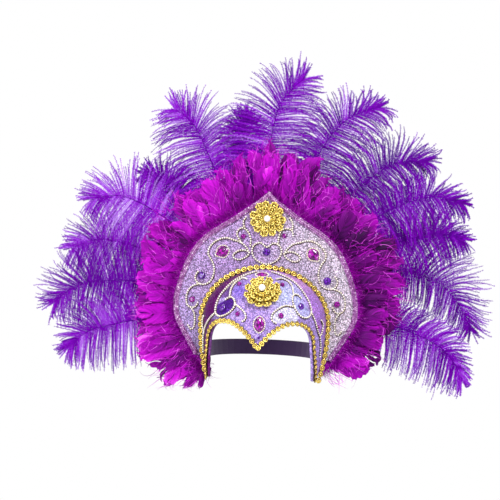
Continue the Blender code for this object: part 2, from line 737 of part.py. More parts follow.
clear_scene()
headdress = new_collection("carnival_headdress")
cutters = new_collection("joined_strands")
glitter_panel = new_material("glitter_panel", (0.62, 0.50, 0.78), 0.35, 0.1)
glitter_cap = new_material("glitter_cap", (0.70, 0.62, 0.86), 0.30, 0.1)
gold_braid = new_material("gold_braid", (0.83, 0.62, 0.12), 0.35, 0.9)
gold_metal = new_material("gold_metal", (0.90, 0.70, 0.18), 0.25, 1.0)
bead_edging = new_material("bead_edging", (0.72, 0.42, 0.78), 0.30, 0.0)
bead_pearl = new_material("bead_pearl", (0.90, 0.80, 0.58), 0.25, 0.0)
pearl_white = new_material("pearl_white", (0.95, 0.93, 0.88), 0.20, 0.0)
stone_hues = {
    "violet": new_material("violet_stone", (0.22, 0.02, 0.55), 0.05, 0.0),
    "magenta": new_material("magenta_stone", (0.55, 0.01, 0.50), 0.05, 0.0),
}
ruff_magenta = new_material("ruff_feather", (0.65, 0.01, 0.70), 0.55, 0.0)
ostrich_violet = new_material("ostrich_feather", (0.30, 0.02, 0.60), 0.65, 0.0)
elastic = new_material("elastic_band", (0.25, 0.12, 0.35), 0.80, 0.0)

make_cap()
make_panel()
make_head_band()
make_braids()
make_edge_trim()
make_brooches()
for stone_row in stones:
    make_stone(stone_row)
make_scrolls()
make_ruff()
make_plumes()
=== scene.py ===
import math

import bmesh
import bpy
import numpy as np
from mathutils import Matrix, Vector


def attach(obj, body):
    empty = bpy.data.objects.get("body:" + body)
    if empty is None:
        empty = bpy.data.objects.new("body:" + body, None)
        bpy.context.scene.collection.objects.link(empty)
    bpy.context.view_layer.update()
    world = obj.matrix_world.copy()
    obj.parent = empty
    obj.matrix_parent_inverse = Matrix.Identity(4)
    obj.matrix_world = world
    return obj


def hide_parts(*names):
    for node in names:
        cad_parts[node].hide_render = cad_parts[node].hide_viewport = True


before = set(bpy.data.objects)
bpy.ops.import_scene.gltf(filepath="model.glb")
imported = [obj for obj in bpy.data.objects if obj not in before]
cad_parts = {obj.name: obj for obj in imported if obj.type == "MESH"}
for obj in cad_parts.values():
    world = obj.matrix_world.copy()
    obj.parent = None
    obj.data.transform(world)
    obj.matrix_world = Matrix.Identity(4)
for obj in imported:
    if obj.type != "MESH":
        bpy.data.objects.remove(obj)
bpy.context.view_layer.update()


def named_rows(columns, *rows):
    """Rows as dictionaries, under the names of their columns."""
    return [dict(zip(columns.split(), row)) for row in rows]


# Sizes repeated from the part's source
clearance = 0.0003
cap_seat_gap = 0.0008
panel_border = 0.043
panel_height = 0.183
panel_drop = 0.050
panel_front = -0.015
panel_sweep = 0.012
panel_wall = 0.003
cap_half_width = 0.0865
panel_half_width = cap_half_width + panel_border
cap_height = 0.0735
cap_drop = 0.078
cap_depth = 0.085
cap_wall = 0.003
leg_narrowing = 0.12
braid_radius = 0.0032
brow_braid_inset = 0.0022
trim_radius = 0.0032
upper_brooch_radius = 0.0238
upper_brooch_rise = 0.1420
front_brooch_radius = 0.0240
front_brooch_share = 0.5
brooch_height = 0.009
brooch_top = 0.90
pearl_radius = 0.0046
stone_height = 0.0034
setting_height = 0.0014
fan_rise = 0.031
ruff_wall = 0.004
ruff_sections = 5
ruff_start = -50.0
ruff_end = 234.0
quill_root = 0.108
quill_seat_gap = 0.0007
vane_start = 0.152
vane_wall = 0.003
layer_pitch = 0.0095
fan_lean = 0.14
tip_curl = 0.014
fan_reach = 0.336
vane_half_width = 0.062

panel_outline = named_rows(
    "along across up",
    (0.00, 0.000, 1.000),
    (0.05, 0.100, 0.946),
    (0.11, 0.216, 0.901),
    (0.18, 0.340, 0.852),
    (0.26, 0.494, 0.796),
    (0.35, 0.660, 0.734),
    (0.44, 0.790, 0.656),
    (0.54, 0.885, 0.560),
    (0.64, 0.958, 0.445),
    (0.74, 1.000, 0.328),
    (0.83, 0.982, 0.225),
    (0.91, 0.895, 0.132),
    (1.00, 0.745, 0.000),
)
brow_edge = named_rows(
    "along across up",
    (0.00, 0.000, -0.440),
    (0.12, 0.125, -0.250),
    (0.24, 0.255, -0.105),
    (0.35, 0.385, -0.010),
    (0.45, 0.515, 0.020),
    (0.55, 0.640, 0.000),
    (0.64, 0.735, -0.085),
    (0.71, 0.790, -0.230),
    (0.79, 0.810, -0.450),
    (0.89, 0.832, -0.700),
    (1.00, 0.835, -1.000),
)
ruff_edge = named_rows(
    "at reach",
    (-50.0, 0.460),
    (-34.0, 0.490),
    (-16.0, 0.515),
    (2.0, 0.570),
    (28.0, 0.575),
    (60.0, 0.545),
    (82.0, 0.610),
    (94.0, 0.640),
    (108.0, 0.575),
    (126.0, 0.555),
    (142.0, 0.605),
    (165.0, 0.530),
    (192.0, 0.570),
    (223.0, 0.570),
    (234.0, 0.480),
)

# Plumes. at, bend, reach, width, layer: as in the part's source. right, left: barb length beside the
# shaft seen towards the tip; droop: pull of gravity; curl: hook of the barb ends; tone: 0 deep to 1 light;
# ends: tone added at the barb ends; combed: how evenly the barbs lie
plumes = named_rows(
    "name at bend reach width layer right left droop curl tone ends combed",
    ("01", -9.0, -10.5, 0.940, 0.72, 1, 1.25, 0.80, 1.3, 0.5, 0.42, -0.15, 0.6),
    ("02", 17.5, -26.0, 0.920, 0.80, 3, 0.95, 1.15, 1.2, 0.9, 0.28, -0.10, 0.3),
    ("03", 26.5, -5.5, 0.915, 0.70, 2, 1.10, 0.90, 1.1, 0.7, 0.32, -0.10, 0.4),
    ("04", 40.0, -11.0, 0.975, 0.72, 1, 1.15, 0.85, 1.1, 0.9, 0.28, -0.12, 0.3),
    ("05", 54.5, -10.5, 0.945, 0.85, 3, 1.00, 1.00, 0.9, 1.0, 0.18, -0.08, 0.2),
    ("06", 74.5, -12.0, 1.000, 0.86, 2, 1.10, 0.85, 0.8, 0.8, 0.30, -0.15, 0.4),
    ("07", 92.0, -8.0, 0.995, 1.00, 0, 0.95, 0.95, 0.6, 0.5, 0.42, -0.20, 0.6),
    ("08", 104.0, -3.0, 0.830, 0.60, 3, 1.00, 1.00, 0.7, 0.9, 0.12, 0.00, 0.3),
    ("09", 114.0, 1.5, 0.955, 0.98, 1, 0.90, 1.05, 0.7, 0.5, 0.50, -0.15, 0.6),
    ("10", 132.0, 3.0, 0.800, 0.60, 3, 1.00, 1.00, 0.8, 0.7, 0.15, 0.00, 0.4),
    ("11", 143.0, 8.5, 0.925, 0.92, 0, 1.00, 1.05, 0.8, 0.5, 0.62, -0.20, 0.9),
    ("12", 160.0, 6.0, 0.940, 0.85, 2, 1.00, 1.30, 0.9, 0.5, 0.58, -0.20, 0.8),
    ("13", 174.0, 8.0, 1.000, 0.80, 1, 1.15, 1.20, 0.7, 0.9, 0.30, -0.10, 0.3),
    ("14", 191.0, 2.5, 0.945, 0.78, 0, 1.00, 1.15, 0.9, 0.3, 0.52, -0.22, 0.9),
)

# Stones. across, up: shares of the half width and the height of the piece that they lie on;
# turn: degrees that a drop leans about its own axis; form: how the outline tapers
stones = named_rows(
    "name on across up wide tall form turn rim hue",
    ("heart", "panel", 0.000, 0.536, 0.0048, 0.0048, "round", 0, False, "violet"),
    ("drop_left", "panel", -0.487, 0.524, 0.0068, 0.0086, "drop", -60, True, "magenta"),
    ("drop_right", "panel", 0.510, 0.524, 0.0068, 0.0086, "drop", 42, True, "magenta"),
    ("loop_left", "panel", -0.259, 0.648, 0.0034, 0.0034, "round", 0, False, "magenta"),
    ("loop_right", "panel", 0.184, 0.664, 0.0034, 0.0034, "round", 0, False, "magenta"),
    ("hook_left", "panel", -0.700, 0.336, 0.0048, 0.0048, "round", 0, False, "violet"),
    ("hook_right", "panel", 0.664, 0.331, 0.0050, 0.0050, "round", 0, False, "violet"),
    ("side_left", "panel", -0.799, 0.150, 0.0038, 0.0038, "round", 0, False, "magenta"),
    ("side_right", "panel", 0.777, 0.156, 0.0040, 0.0040, "round", 0, False, "magenta"),
    ("top_oval", "cap", -0.020, 0.888, 0.0070, 0.0056, "round", 0, True, "magenta"),
    ("brow_oval", "cap", 0.012, 0.008, 0.0060, 0.0092, "pointed", 0, True, "magenta"),
    ("brow_tiny", "cap", 0.012, -0.238, 0.0018, 0.0018, "round", 0, False, "violet"),
    ("high_left", "cap", -0.358, 0.714, 0.0030, 0.0030, "round", 0, False, "magenta"),
    ("high_right", "cap", 0.314, 0.728, 0.0030, 0.0030, "round", 0, False, "magenta"),
    ("field_left", "cap", -0.590, 0.272, 0.0042, 0.0042, "round", 0, False, "violet"),
    ("field_right", "cap", 0.626, 0.355, 0.0042, 0.0042, "round", 0, False, "violet"),
    ("lobe_left", "cap", -0.335, 0.180, 0.0030, 0.0030, "round", 0, False, "magenta"),
    ("lobe_right", "cap", 0.335, 0.180, 0.0036, 0.0036, "round", 0, False, "magenta"),
    ("temple", "cap", 0.885, -0.027, 0.0017, 0.0026, "pointed", 0, False, "magenta"),
)

side_scroll = {
    "leaf": [(0.189, 0.527), (0.239, 0.544), (0.309, 0.538), (0.359, 0.511), (0.355, 0.484),
             (0.297, 0.470), (0.224, 0.492)],
    "main": [(0.189, 0.527), (0.224, 0.568), (0.278, 0.601), (0.363, 0.620), (0.456, 0.634),
             (0.556, 0.609), (0.625, 0.557), (0.637, 0.503), (0.598, 0.459), (0.568, 0.404),
             (0.571, 0.350), (0.602, 0.298), (0.660, 0.273), (0.722, 0.273), (0.764, 0.298),
             (0.772, 0.336), (0.745, 0.366)],
    "hook": [(0.722, 0.273), (0.795, 0.257), (0.846, 0.219), (0.865, 0.164), (0.853, 0.112),
             (0.811, 0.090), (0.761, 0.096), (0.734, 0.128)],
    "tail": [(0.811, 0.090), (0.772, 0.049), (0.761, -0.005), (0.768, -0.060), (0.803, -0.077),
             (0.834, -0.049)],
}
left_extra = {
    "loop": [(-0.278, 0.601), (-0.332, 0.667), (-0.297, 0.710), (-0.247, 0.710), (-0.201, 0.675),
             (-0.178, 0.628), (-0.181, 0.579)],
    "line": [(-0.247, 0.710), (-0.266, 0.760), (-0.239, 0.798)],
}
heart_scroll = {
    "heart": [(0.000, 0.574), (0.062, 0.604), (0.120, 0.598), (0.154, 0.568), (0.158, 0.530),
              (0.131, 0.489), (0.077, 0.459), (0.000, 0.443), (-0.077, 0.459), (-0.131, 0.489),
              (-0.158, 0.530), (-0.154, 0.568), (-0.120, 0.598), (-0.062, 0.604)],
    "loop": [(0.120, 0.598), (0.127, 0.656), (0.154, 0.705), (0.212, 0.721), (0.266, 0.705),
             (0.278, 0.669)],
    "line": [(0.266, 0.705), (0.270, 0.760), (0.239, 0.801)],
}
cap_scroll_right = {
    "arch": [(0.121, 0.946), (0.208, 0.925), (0.335, 0.871), (0.451, 0.803), (0.555, 0.707),
             (0.636, 0.599), (0.711, 0.476), (0.757, 0.354), (0.775, 0.245), (0.740, 0.163),
             (0.659, 0.156), (0.590, 0.218), (0.526, 0.340), (0.486, 0.463), (0.497, 0.551),
             (0.555, 0.558), (0.613, 0.497)],
    "second": [(0.220, 0.823), (0.301, 0.837), (0.393, 0.789), (0.462, 0.694), (0.497, 0.551)],
    "lobe": [(0.526, 0.340), (0.393, 0.361), (0.277, 0.293), (0.202, 0.204), (0.202, 0.095),
             (0.266, 0.048)],
    "slim": [(0.775, 0.245), (0.838, 0.082), (0.884, -0.109), (0.913, -0.190), (0.942, -0.109),
             (0.950, 0.014), (0.925, 0.095)],
    "tail": [(0.913, -0.190), (0.925, -0.327), (0.925, -0.463), (0.919, -0.585)],
}
cap_scroll_left = {
    "arch": [(-0.121, 0.946), (-0.208, 0.912), (-0.358, 0.837), (-0.486, 0.728), (-0.584, 0.599),
             (-0.665, 0.456), (-0.705, 0.313), (-0.705, 0.177), (-0.636, 0.116), (-0.532, 0.150),
             (-0.428, 0.245), (-0.387, 0.354), (-0.422, 0.449), (-0.486, 0.469), (-0.549, 0.422)],
    "second": [(-0.249, 0.803), (-0.324, 0.816), (-0.422, 0.735), (-0.480, 0.612), (-0.486, 0.469)],
    "hook": [(-0.387, 0.354), (-0.289, 0.279), (-0.220, 0.204), (-0.202, 0.109), (-0.249, 0.054)],
    "tail": [(-0.705, 0.177), (-0.798, 0.068), (-0.873, -0.068), (-0.913, -0.218), (-0.925, -0.381),
             (-0.919, -0.585)],
    "slim": [(-0.913, -0.218), (-0.945, -0.109), (-0.955, 0.000), (-0.935, 0.082)],
}
closed_routes = ("leaf", "heart")
half_spans = {"panel": (panel_half_width, panel_height), "cap": (cap_half_width, cap_height)}

# Sizes of the fine work
bead_pitch = 0.0033
seen_bead_radius = 0.00140
# A dark thread under the beads, set off to one side, paints the shadow line beside them
shadow_thread_radius = 0.00125
shadow_thread_offset = (0.0006, 0.0, -0.0009)
bead_pole = (0.31, 0.12, 0.94)
seed_radius = 0.00125
seed_pitch = 0.0028
seed_rows = 5
brooch_spread = 1.12
upper_brooch_lift = 0.0025
front_brooch_shift = 0.0022
brooch_tiers = named_rows(
    "petals inner length height tilt start",
    (11, 0.44, 0.56, 0.08, 0.02, 0.0),
    (9, 0.26, 0.50, 0.34, 0.16, 0.5),
    (7, 0.14, 0.36, 0.62, 0.34, 0.2),
)
brooch_grains = named_rows(
    "grains reach height size",
    (12, 0.30, 0.50, 0.0016),
    (8, 0.19, 0.80, 0.0015),
    (14, 0.60, 0.28, 0.0015),
    (16, 0.82, 0.12, 0.0014),
)
low_fringe = -0.095
puff_reach = 0.016
puff_start = 0.0005
ruff_seat = 0.0008
feather_tuck = 0.016
shortest_feather = 0.034
ruff_start_gap = 8.0
ruff_end_gap = 7.0
narrow_above = 221.0
narrow_below = -40.0
narrow_share = 0.55
opened_below = -30.0
hair_tuck = 0.003
hair_puff = 0.009
camera_distance = 2.1
short_hairs = 1500
long_hairs = 260
ruff_rows = named_rows(
    "every reach width depth puff tone",
    (5.2, 1.03, 0.0225, 0.0030, 0.000, 0.40),
    (6.6, 0.95, 0.0245, 0.0014, 0.006, 0.58),
    (8.4, 0.78, 0.0210, 0.0002, 0.012, 0.52),
)
gem_spread = 1.12
outer_gimp_pitch = 0.0090
brow_gimp_pitch = 0.0075
gimp_spread = 1.26
rim_bead_radius = 0.00110
plume_barbs = 148
tip_bend = 34.0
plume_end = 0.915
plume_spread = 1.18
barb_steps = 9
barbules = 44
barbule_length = 0.0029
barbule_width = 0.00095
barb_width = 0.00100
down = np.array((0.0, 0.0, -1.0))


# Arrays and meshes

def unit(vectors):
    """Each vector at length one."""
    return vectors / np.maximum(np.linalg.norm(vectors, axis=-1, keepdims=True), 1e-9)


def grid_quads(rows, columns):
    """Quads of a grid of points stored row by row."""
    first = np.arange((rows - 1) * columns).reshape(rows - 1, columns)[:, :-1].ravel()
    return np.stack((first, first + 1, first + columns + 1, first + columns), axis=1)


def halved(quads):
    """Two triangles for each quad."""
    return np.concatenate((quads[:, (0, 1, 2)], quads[:, (0, 2, 3)]))


def ribbons(count, steps):
    """Triangles of many ribbons, each with two points at every step."""
    quads = grid_quads(steps + 1, 2)
    starts = np.arange(count) * 2 * (steps + 1)
    return halved((quads[None] + starts[:, None, None]).reshape(-1, 4))


def around(count):
    """Evenly spaced angles of one full turn."""
    return np.linspace(0.0, 2.0 * math.pi, count, endpoint=False)


def eased(share):
    """A share from 0 to 1 with a soft start and end."""
    return share * share * (3.0 - 2.0 * share)


def in_scene(name, data):
    """A new object in the scene."""
    made = bpy.data.objects.new(name, data)
    bpy.context.scene.collection.objects.link(made)
    return made


class Gathered:
    """Points, triangles and tones of many small shapes, joined into one mesh."""

    def __init__(self):
        self.points = []
        self.faces = []
        self.tones = []
        self.count = 0

    def add(self, points, faces, tone=0.5):
        points = np.asarray(points, dtype=float).reshape(-1, 3)
        self.points.append(points)
        self.faces.append(np.asarray(faces) + self.count)
        self.tones.append(np.broadcast_to(tone, len(points)).astype(float))
        self.count += len(points)

    def add_loose(self, corners, tone):
        """Triangles that share no points, given as their corners."""
        corners = corners.reshape(-1, 3)
        self.add(corners, np.arange(len(corners)).reshape(-1, 3), tone)

    def piece(self, name, materials, slot, replaced, smooth=True, colours=None):
        """One piece on root in place of the replaced nodes."""
        mesh = bpy.data.meshes.new(name)
        points = np.concatenate(self.points)
        faces = np.concatenate(self.faces)
        mesh.vertices.add(len(points))
        mesh.vertices.foreach_set("co", points.astype(np.float32).ravel())
        mesh.loops.add(faces.size)
        mesh.loops.foreach_set("vertex_index", faces.astype(np.int32).ravel())
        mesh.polygons.add(len(faces))
        mesh.polygons.foreach_set("loop_start", np.arange(0, faces.size, faces.shape[1], dtype=np.int32))
        mesh.polygons.foreach_set("use_smooth", np.full(len(faces), smooth))
        mesh.update(calc_edges=True)
        values = mesh.attributes.new("tone", "FLOAT", "POINT")
        values.data.foreach_set("value", np.concatenate(self.tones).astype(np.float32))
        if colours is not None:
            zones = mesh.attributes.new("zone", "FLOAT_COLOR", "POINT")
            zones.data.foreach_set("color", colours.astype(np.float32).ravel())
        for material in materials:
            mesh.materials.append(material)
        made = in_scene(name, mesh)
        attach(made, "root")
        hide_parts(*replaced)
        return made


def ball(segments, rings):
    """Points and triangles of a unit sphere."""
    made = bmesh.new()
    bmesh.ops.create_uvsphere(made, u_segments=segments, v_segments=rings, radius=1.0)
    bmesh.ops.triangulate(made, faces=made.faces)
    made.verts.index_update()
    points = np.array([vert.co[:] for vert in made.verts])
    faces = np.array([[vert.index for vert in face.verts] for face in made.faces])
    made.free()
    return points, faces


def frames(places, outs, ups, sizes=1.0):
    """Frames with local +Z along outs and local +Y towards ups, scaled by sizes."""
    outs = unit(outs)
    rights = unit(np.cross(ups, outs))
    true_ups = np.cross(outs, rights)
    made = np.zeros((len(places), 3, 4))
    sizes = np.broadcast_to(np.asarray(sizes, dtype=float).reshape(-1, 1), (len(places), 1))
    made[:, :, 0] = rights * sizes
    made[:, :, 1] = true_ups * sizes
    made[:, :, 2] = outs * sizes
    made[:, :, 3] = places
    return made


def copies(shape, placed):
    """Points and triangles of a shape set in each of the frames."""
    points, faces = shape
    moved = np.einsum("nij,pj->npi", placed[:, :, :3], points) + placed[:, None, :, 3]
    shifted = faces[None] + (np.arange(len(placed)) * len(points))[:, None, None]
    return moved.reshape(-1, 3), shifted.reshape(-1, 3)


def sweep(path, radii, sides, closed=False, facing=(0.0, -1.0, 0.0)):
    """Points and triangles of a round tube along a path."""
    path = np.asarray(path, dtype=float)
    radii = np.broadcast_to(radii, len(path))
    if closed:
        heading = np.roll(path, -1, axis=0) - np.roll(path, 1, axis=0)
    else:
        heading = np.gradient(path, axis=0)
    heading = unit(heading)
    side = unit(np.cross(heading, np.asarray(facing)))
    front = np.cross(side, heading)
    turns = around(sides)
    ring = side[:, None] * np.cos(turns)[None, :, None] + front[:, None] * np.sin(turns)[None, :, None]
    points = path[:, None] + ring * radii[:, None, None]
    count = len(path)
    spans = np.arange(count if closed else count - 1)[:, None]
    here = spans * sides + np.arange(sides)
    there = (spans + 1) % count * sides + np.arange(sides)
    quads = np.stack((here, np.roll(here, -1, axis=1), np.roll(there, -1, axis=1), there), axis=2)
    faces = halved(quads.reshape(-1, 4))
    if not closed:
        fan = np.arange(1, sides - 1)
        start_cap = np.stack((np.zeros_like(fan), fan + 1, fan), axis=1)
        end_cap = (count - 1) * sides + np.stack((np.zeros_like(fan), fan, fan + 1), axis=1)
        faces = np.concatenate((faces, start_cap, end_cap))
    return points.reshape(-1, 3), faces


# Surfaces of the part

def hermite(before, start, end, after, t):
    """A smooth curve from start at t = 0 to end at t = 1."""
    slope_in = (end - before) / 2.0
    slope_out = (after - start) / 2.0
    t2 = t * t
    t3 = t2 * t
    return ((2 * t3 - 3 * t2 + 1) * start + (t3 - 2 * t2 + t) * slope_in
            + (3 * t2 - 2 * t3) * end + (t3 - t2) * slope_out)


def table_value(table, key, column, at):
    """A column of a table, read smoothly at a value of its key."""
    last = len(table) - 2
    row = 0
    while row < last and table[row + 1][key] < at:
        row += 1
    start = table[row]
    end = table[row + 1]
    t = min(max((at - start[key]) / (end[key] - start[key]), 0.0), 1.0)
    before = table[row - 1] if row else start
    after = table[row + 2] if row < last else end
    return hermite(before[column], start[column], end[column], after[column], t)


def table_values(table, key, column, wanted):
    found = [table_value(table, key, column, at) for at in np.ravel(wanted)]
    return np.array(found).reshape(np.shape(wanted))


def panel_y(x):
    share = np.minimum(np.abs(x) / panel_half_width, 1.0)
    return panel_front + panel_sweep * share * share


def arch_half_width(z):
    below = cap_half_width * (1.0 - leg_narrowing * (z / cap_drop) ** 2)
    over = cap_half_width * np.sqrt(np.clip(1.0 - (z / cap_height) ** 2, 0.0, 1.0))
    return np.where(z < 0.0, below, over)


def arch_points(along, drop, grow=0.0):
    """x and z on the cap's rear rim, from -1 at the left foot over the top to 1 at the right foot."""
    quarter = math.pi / 2.0 * math.hypot(cap_half_width, cap_height) / math.sqrt(2.0)
    spring = quarter / (quarter + drop)
    angle = math.pi / 2.0 * np.clip(along / spring, -1.0, 1.0)
    fall = -drop * np.clip((np.abs(along) - spring) / (1.0 - spring), 0.0, 1.0)
    leg = np.abs(along) > spring
    beside = np.sign(along) * (arch_half_width(fall) + grow)
    x = np.where(leg, beside, (cap_half_width + grow) * np.sin(angle))
    z = np.where(leg, fall, (cap_height + grow) * np.cos(angle))
    return x, z


def outline_points(along):
    """x and z on the panel's outline, from -1 at the left foot over the peak to 1 at the right foot."""
    share = np.abs(along)
    across = table_values(panel_outline, "along", "across", share) * panel_half_width
    up = table_values(panel_outline, "along", "up", share) * (panel_height + panel_drop)
    return np.copysign(across, along), up - panel_drop


def cap_y(x, z):
    beside = np.abs(x) / np.maximum(arch_half_width(z), 1e-6)
    rim = np.where(z < 0.0, beside, np.hypot(x / cap_half_width, z / cap_height))
    return panel_y(x) - cap_seat_gap - cap_depth * np.sqrt(np.clip(1.0 - rim * rim, 0.0, 1.0))


def cap_normals(x, z):
    step = 0.0002
    across = np.where(x < 0.0, step, -step)
    slope_x = (cap_y(x + across, z) - cap_y(x, z)) / across
    slope_z = (cap_y(x, z) - cap_y(x, z - step)) / step
    return unit(np.stack((slope_x, -np.ones_like(x), slope_z), axis=-1))


def panel_normals(x):
    slope = 2.0 * panel_sweep * x / panel_half_width ** 2
    return unit(np.stack((slope, -np.ones_like(x), np.zeros_like(x)), axis=-1))


def lifted(on, x, z, height):
    """Points at a height over the cap or the panel, and the outward directions there."""
    x = np.asarray(x, dtype=float)
    z = np.asarray(z, dtype=float)
    if on == "cap":
        outs = cap_normals(x, z)
        return np.stack((x, cap_y(x, z), z), axis=-1) + outs * height, outs
    outs = panel_normals(x)
    return np.stack((x, panel_y(x), z), axis=-1) + np.array((0.0, -height, 0.0)), outs


def cap_grid(across, up):
    """x and z of the cap's cloth, from the brow edge at up = 0 to the rear rim at up = 1."""
    along = 2.0 * across - 1.0
    rim_x, rim_z = arch_points(along, cap_drop)
    brow_x = table_values(brow_edge, "along", "across", np.abs(along)) * cap_half_width
    brow_z = table_values(brow_edge, "along", "up", np.abs(along)) * cap_drop
    brow_x = np.copysign(brow_x, along)
    share = np.sin(math.pi / 2.0 * up)
    return brow_x + (rim_x - brow_x) * share, brow_z + (rim_z - brow_z) * share


def dense_route(route, closed):
    """A smooth curve through a route, as many short steps."""
    corners = [np.array(point) for point in route]
    count = len(corners)
    spans = count if closed else count - 1
    found = []
    for span in range(spans):
        picked = [(span + shift) % count if closed else min(max(span + shift, 0), count - 1)
                  for shift in (-1, 0, 1, 2)]
        four = [corners[index] for index in picked]
        found += [hermite(*four, step / 12.0) for step in range(12)]
    found.append(corners[0] if closed else corners[-1])
    return np.array(found)


def evenly(path, pitch, closed=False):
    """Rows about one pitch apart by their first three columns; a closed path isn't given its start twice."""
    steps = np.linalg.norm(np.diff(path[:, :3], axis=0), axis=1)
    lengths = np.concatenate(([0.0], np.cumsum(steps)))
    count = max(2, round(lengths[-1] / pitch))
    wanted = np.linspace(0.0, lengths[-1], count + 1)
    if closed:
        wanted = wanted[:-1]
    return np.stack([np.interp(wanted, lengths, path[:, axis]) for axis in range(path.shape[1])], axis=1)


def behind_panel(x):
    beyond = np.maximum(0.0, np.abs(x) - panel_half_width)
    return panel_y(x) + panel_wall + 2.0 * panel_sweep / panel_half_width * beyond


def fan_depth(x, z, layer):
    """How far back the plumes of a layer lie."""
    radius = np.hypot(x, z - fan_rise)
    spread = eased(np.clip((radius - quill_root) / (vane_start - quill_root), 0.0, 1.0))
    beyond = np.maximum(0.0, radius - vane_start)
    seat = behind_panel(x) + clearance + ruff_wall + quill_seat_gap
    curl = tip_curl * (beyond / (fan_reach - vane_start)) ** 3
    return seat + layer * layer_pitch * spread + fan_lean * beyond - curl


def fan_angles(x, z):
    """Angles round the fan's centre in degrees, from the right foot over the top to the left foot."""
    angles = np.degrees(np.arctan2(z - fan_rise, x))
    return np.where(angles < -110.0, angles + 360.0, angles)


def fan_points(radius, degrees, y):
    """Points at radii and angles round the fan's centre, at depths y."""
    turned = np.radians(degrees)
    return np.stack((radius * np.cos(turned), y, fan_rise + radius * np.sin(turned)), axis=1)


# Materials

def new_material(name, roughness=0.5, metallic=0.0, **sockets):
    made = bpy.data.materials.new(name)
    made.use_nodes = True
    shader = made.node_tree.nodes["Principled BSDF"]
    shader.inputs["Roughness"].default_value = roughness
    shader.inputs["Metallic"].default_value = metallic
    for label, value in sockets.items():
        shader.inputs[label.replace("_", " ")].default_value = value
    return made


def feed(material, socket, value):
    """Gives a socket a plain value, or links another node's socket to it."""
    if isinstance(value, bpy.types.NodeSocket):
        material.node_tree.links.new(value, socket)
    else:
        socket.default_value = value


def add_node(material, kind, inputs=None, **settings):
    """A node with its settings, and values or sockets for its inputs."""
    made = material.node_tree.nodes.new(kind)
    for label, value in settings.items():
        setattr(made, label, value)
    for label, value in (inputs or {}).items():
        feed(material, made.inputs[label], value)
    return made


def shader_of(material):
    return material.node_tree.nodes["Principled BSDF"]


def attribute(material, name, output):
    return add_node(material, "ShaderNodeAttribute", attribute_name=name).outputs[output]


def ramp(material, factor, stops):
    """A colour ramp fed by factor; stops are (position, colour)."""
    made = add_node(material, "ShaderNodeValToRGB", {"Fac": factor})
    elements = made.color_ramp.elements
    while len(elements) < len(stops):
        elements.new(0.5)
    for element, (position, colour) in zip(elements, stops):
        element.position = position
        element.color = (*colour, 1.0)
    return made.outputs["Color"]


def math_node(material, operation, *values):
    return add_node(material, "ShaderNodeMath", dict(enumerate(values)), operation=operation).outputs[0]


def vector_node(material, operation, *values):
    return add_node(material, "ShaderNodeVectorMath", dict(enumerate(values)), operation=operation).outputs[0]


def multiplied(material, share, first, second):
    """Two colours multiplied, by a share of the effect."""
    return add_node(material, "ShaderNodeMix", {0: share, 6: first, 7: second},
                    data_type="RGBA", blend_type="MULTIPLY").outputs[2]


def object_place(material):
    return add_node(material, "ShaderNodeTexCoord").outputs["Object"]


def noise(material, scale, detail):
    inputs = {"Vector": object_place(material), "Scale": scale, "Detail": detail}
    return add_node(material, "ShaderNodeTexNoise", inputs).outputs["Fac"]


def colour_by(material, colour):
    feed(material, shader_of(material).inputs["Base Color"], colour)


def add_bump(material, height, strength, distance):
    inputs = {"Height": height, "Strength": strength, "Distance": distance}
    bump = add_node(material, "ShaderNodeBump", inputs)
    feed(material, shader_of(material).inputs["Normal"], bump.outputs["Normal"])


def glitter_material(name, grain, contrast, sparkle, roughness):
    """Glitter cloth: each flake has its own brightness and its own tilt; the brightest flakes, above white,
    are painted glints.
    """
    made = new_material(name, roughness, Specular_IOR_Level=0.18)
    inputs = {"Vector": object_place(made), "Scale": grain, "Randomness": 1.0}
    flakes = add_node(made, "ShaderNodeTexVoronoi", inputs, feature="F1").outputs["Color"]
    parts = add_node(made, "ShaderNodeSeparateColor", {"Color": flakes})
    middle = 0.35 + 0.6 * contrast
    # Flake brightness varies at random; the top stops, above white, are painted glints
    shade = ramp(made, parts.outputs[0], [
        (0.0, (contrast, contrast, contrast * 1.05)), (0.38, (middle, middle * 0.97, middle * 1.06)),
        (0.72, (1.0, 1.0, 1.0)), (1.0, (1.75, 1.7, 1.8)),
    ])
    tint = ramp(made, parts.outputs[1], [
        (0.0, (0.95, 0.55, 0.90)), (0.35, (0.80, 0.75, 0.95)), (0.7, (0.62, 0.72, 1.0)),
        (1.0, (1.0, 0.98, 0.98)),
    ])
    base = multiplied(made, 1.0, attribute(made, "zone", "Color"), shade)
    colour_by(made, multiplied(made, 0.45, base, tint))
    shifted = vector_node(made, "SUBTRACT", flakes, (0.5, 0.5, 0.5))
    scaled = vector_node(made, "MULTIPLY", shifted, (sparkle, sparkle, sparkle))
    flat = add_node(made, "ShaderNodeNewGeometry").outputs["Normal"]
    tilted = vector_node(made, "NORMALIZE", vector_node(made, "ADD", flat, scaled))
    feed(made, shader_of(made).inputs["Normal"], tilted)
    return made


def toned_material(name, stops, grain, detail, spread, roughness, metallic=0.0, **sockets):
    """A material coloured by the tone of its points and a fine noise, and the noise's socket."""
    made = new_material(name, roughness, metallic, **sockets)
    fine = noise(made, grain, detail)
    varied = math_node(made, "MULTIPLY_ADD", fine, spread, attribute(made, "tone", "Fac"))
    colour_by(made, ramp(made, math_node(made, "SUBTRACT", varied, spread / 2.0), stops))
    return made, fine


def feather_material(name, stops, roughness, sheen, grain):
    """Feather: tone sets the colour, with a fine grain."""
    made, _ = toned_material(name, stops, grain, 2.0, 0.30, roughness,
                             Sheen_Weight=sheen, Specular_IOR_Level=0.08)
    shader_of(made).inputs["Sheen Tint"].default_value = (*stops[-1][1], 1.0)
    return made


def gold_material(name, light, dark, roughness, grain):
    """Gold: tone 0 is painted shade in hollows and gaps, 1 is a painted highlight."""
    painted_highlight = tuple(min(1.0, 1.15 * part) for part in light)
    stops = [(0.0, dark), (0.55, light), (1.0, painted_highlight)]
    made, worn = toned_material(name, stops, grain, 3.0, 0.5, roughness, 0.80, Specular_IOR_Level=0.6)
    add_bump(made, worn, 0.35, 0.0003)
    return made


